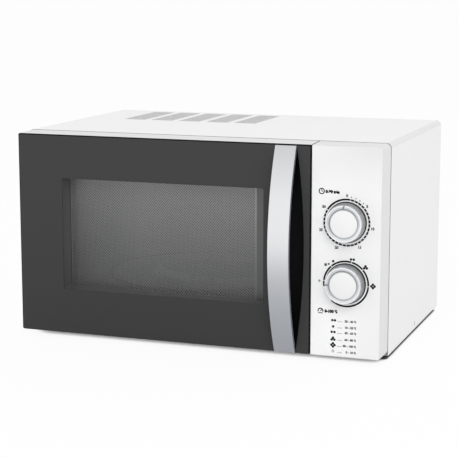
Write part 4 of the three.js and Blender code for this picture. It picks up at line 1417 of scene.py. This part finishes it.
# %% Back panel
PANEL_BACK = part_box("rear_panel")[1].y
FIELD_LOW, FIELD_HIGH = Vector(mm(-194, 0, 42)), Vector(mm(94, 0, 224))
FIELD_DEPTH = mm(2.5)
back_panel = refine("rear_panel", mm(0.25))
floor_at = PANEL_BACK - FIELD_DEPTH
margin = Vector((mm(1.5), 0, mm(1.5)))
up_to = Vector((0, PANEL_BACK, 0))
weld(back_panel, rounded_block("pressed", FIELD_LOW - margin + Vector((0, floor_at - mm(1), 0)),
                               FIELD_HIGH + margin + up_to - Vector((0, mm(0.5), 0)), "y", mm(15)))
press = rounded_block("press", FIELD_LOW + Vector((0, floor_at, 0)),
                      FIELD_HIGH + up_to + Vector((0, PAST, 0)), "y", mm(14), 10)
round_edges(press, lambda edge: all(v.co.y < floor_at + 1e-6 for v in edge.verts), mm(2.2), 4)
carve(back_panel, press)
for x in mm(-122, -50, 22):
    bead = rounded_block("bead", (x - mm(6), floor_at - mm(4), mm(66)),
                         (x + mm(6), floor_at + mm(1.8), mm(200)), "y", mm(5.9), 8)
    soften(bead, mm(1.7), 4)
    slice_off(bead, (0, floor_at - mm(0.5), 0), (0, -1, 0))
    weld(back_panel, bead)
smooth(back_panel, 30)
dress(back_panel, "rear_panel")
print("back panel:", len(back_panel.data.polygons), "faces")

# %% Screws and cord bush
SCREW_PLACES = [(-216, 20), (-216, 125), (-216, 235), (-70, 240), (75, 240), (216, 235), (216, 95),
                (216, 14), (75, 14), (-70, 14)]
places = [Vector((mm(x), PANEL_BACK, mm(z))) for x, z in SCREW_PLACES]
screws = [screw("back_screw_1", places[0], (0, 1, 0))]
for number, place in enumerate(places[1:], 2):
    screws.append(copied(screws[0], f"back_screw_{number}", place - places[0]))
for made in screws:
    dress(made, "rear_panel", "zinc_steel", stands_for=False)

gland_seat = centre_of("cord_gland")
gland_seat.y = PANEL_BACK
GLAND_PROFILE = [
    (4.0, -6.0), (6.6, -6.0), (7.0, -5.4), (7.0, 0.4), (10.0, 0.4), (10.0, 0.8), (9.8, 1.0), (4.6, 1.0),
    (4.2, 0.8), (4.0, 0.3),
]
dress(smooth(turned("cord_bush", GLAND_PROFILE, gland_seat, (0, 1, 0)), 40), "cord_gland")
print("screws:", len(screws), "and the bush")

# %% [markdown]
# ## Cooking chamber
# The chamber is a welded steel box with rounded corners, enamelled dark grey inside. The dark grey
# also paints the shade seen through the holes of the window's screen. The floor has a low pressed
# ring round the roller track, and the side walls have small round holes for the lamp and for the
# steam to leave by.

# %% Cooking chamber
SHEET = mm(1)
ROOM_LOW, ROOM_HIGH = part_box("oven_cavity")
TRAY_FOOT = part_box("glass_tray")[0].z
TURN = centre_of("glass_tray")
CAVITY_FLOOR = ROOM_LOW.z + SHEET


def chamber_block(name, low, high, radius):
    """A block with round side edges and a round back, like a pressed box."""
    made = rounded_block(name, low, high, "y", radius)
    return round_edges(made, lambda edge: all(v.co.y > high[1] - 1e-6 for v in edge.verts), 0.6 * radius, 5)


def holes(side, y0, z0, across, up):
    """A grid of small round holes through a side wall."""
    pins = [
        drum("hole", "x", mm(2), (side - PAST, side + PAST), (mm(y0 + 7 * i), mm(z0 + 7 * j)), 16)
        for i in range(across) for j in range(up)
    ]
    return together("holes", pins)


chamber = chamber_block("chamber", ROOM_LOW, ROOM_HIGH, mm(9))
inset = Vector((SHEET, 0, SHEET))
carve(
    chamber,
    chamber_block("room", ROOM_LOW + inset - Vector((0, PAST, 0)),
                  ROOM_HIGH - inset - Vector((0, SHEET, 0)), mm(8)),
    rounded_block("feed", (ROOM_HIGH.x - PAST, mm(30), mm(124)), (ROOM_HIGH.x + PAST, mm(90), mm(184)),
                  "x", mm(4)),
    holes(ROOM_HIGH.x, -43, 196, 3, 3),
    holes(ROOM_LOW.x, 112, 192, 4, 3),
    drum("shaft_hole", "z", mm(6), (0, CAVITY_FLOOR + PAST), TURN.xy, 32),
)
PRESS_PROFILE = [(109.5, -0.4), (110.5, 0.3), (112, 0.6), (114, 0.6), (115.5, 0.3), (116.5, -0.4)]
ring_base = (TURN.x, TURN.y, CAVITY_FLOOR)
weld(chamber, turned("pressed_ring", PRESS_PROFILE, ring_base, steps=96))
smooth(chamber, 35)
dress(chamber, "oven_cavity")
print("chamber:", len(chamber.data.polygons), "faces")

# %% [markdown]
# ## Turntable
# The glass tray is a turned dish with a rolled rim and three lugs under it that drop between the
# lobes of the coupler. The rollers are small turned wheels with dished sides, one on each arm of
# the roller ring.

# %% Glass tray
TRAY_PROFILE = [
    (0, 0), (98, 0), (104, 0.3), (110, 1.2), (115.5, 4.7), (121, 8.7), (122.2, 10.2), (122.5, 11.6),
    (122.2, 12.6), (121.3, 13), (120.3, 12.7), (118.8, 11.4), (113.5, 7.4), (109, 5.4), (104, 5.05),
    (99, 5), (0, 5),
]
DISH_FOOT = mm(49)
LUG_RING = mm(15)
tray = turned("glass_dish", TRAY_PROFILE, (TURN.x, TURN.y, DISH_FOOT), steps=128)
for degrees in (90, 210, 330):
    angle = math.radians(degrees)
    place = (TURN.x + LUG_RING * math.cos(angle), TURN.y + LUG_RING * math.sin(angle))
    lug = drum("lug", "z", mm(3), (TRAY_FOOT, DISH_FOOT + mm(0.2)), place, 32)
    weld(tray, round_edges(lug, lambda edge: all(v.co.z < TRAY_FOOT + 1e-6 for v in edge.verts), mm(0.8), 4))
smooth(tray, 30)
dress(tray, "glass_tray")
print("tray:", len(tray.data.polygons), "faces")

# %% Rollers
WHEEL_PROFILE = [
    (2.4, -4), (3.6, -4), (4.0, -3.3), (5.5, -3.3), (5.9, -4), (6.6, -4), (7.2, -3.3), (7.2, 3.3),
    (6.6, 4), (5.9, 4), (5.5, 3.3), (4.0, 3.3), (3.6, 4), (2.4, 4),
]
for number, degrees in enumerate((30, 150, 270), 1):
    node = f"roller_{number}"
    outward = (math.cos(math.radians(degrees)), math.sin(math.radians(degrees)), 0)
    dress(smooth(turned("wheel_" + node, WHEEL_PROFILE, centre_of(node), outward), 40), node)
print("three rollers")

# %% [markdown]
# ## Lamp
# The chamber lamp is a small round bulb with a narrow neck that sits in its holder behind the wall.

# %% Lamp
BULB_PROFILE = [
    (0, 0), (5, 0), (5, 1.5), (5.6, 2.6), (7.6, 4.2), (9.4, 6.2), (10, 8.6), (9.6, 11.4), (8.2, 13.8),
    (5.6, 15.6), (2.8, 16.4), (0, 16.5),
]
lamp_base = centre_of("oven_lamp")
lamp_base.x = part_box("oven_lamp")[1].x
dress(smooth(turned("bulb", BULB_PROFILE, lamp_base, (-1, 0, 0)), 40), "oven_lamp")
print("bulb turned")

# %% [markdown]
# ## The parts behind
# Every other part keeps the shape that it has in the frame and only loses its razor edges: folded
# steel by a hair, moulded plastic by more. The wound spring of the latch has no edges to soften.

# %% The parts behind
EDGE_ROUND = {
    "zinc_steel": 0.25, "pale_nylon": 0.6, "black_plastic": 0.5, "white_plastic": 0.5, "mica": 0.15,
    "clear_film": 0.1, "circuit_board": 0.3, "laminations": 0.4, "copper": 0.8, "aluminium": 0.3,
}
spring = dress(refine("latch_spring", 0), "latch_spring")
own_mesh(spring)
waiting = [name for name, node in NODES.items() if not node.hide_render]
for name in waiting:
    dress(refine(name, mm(EDGE_ROUND.get(SLOT_OF[name], 0.3))), name)
print("softened copies:", len(waiting))
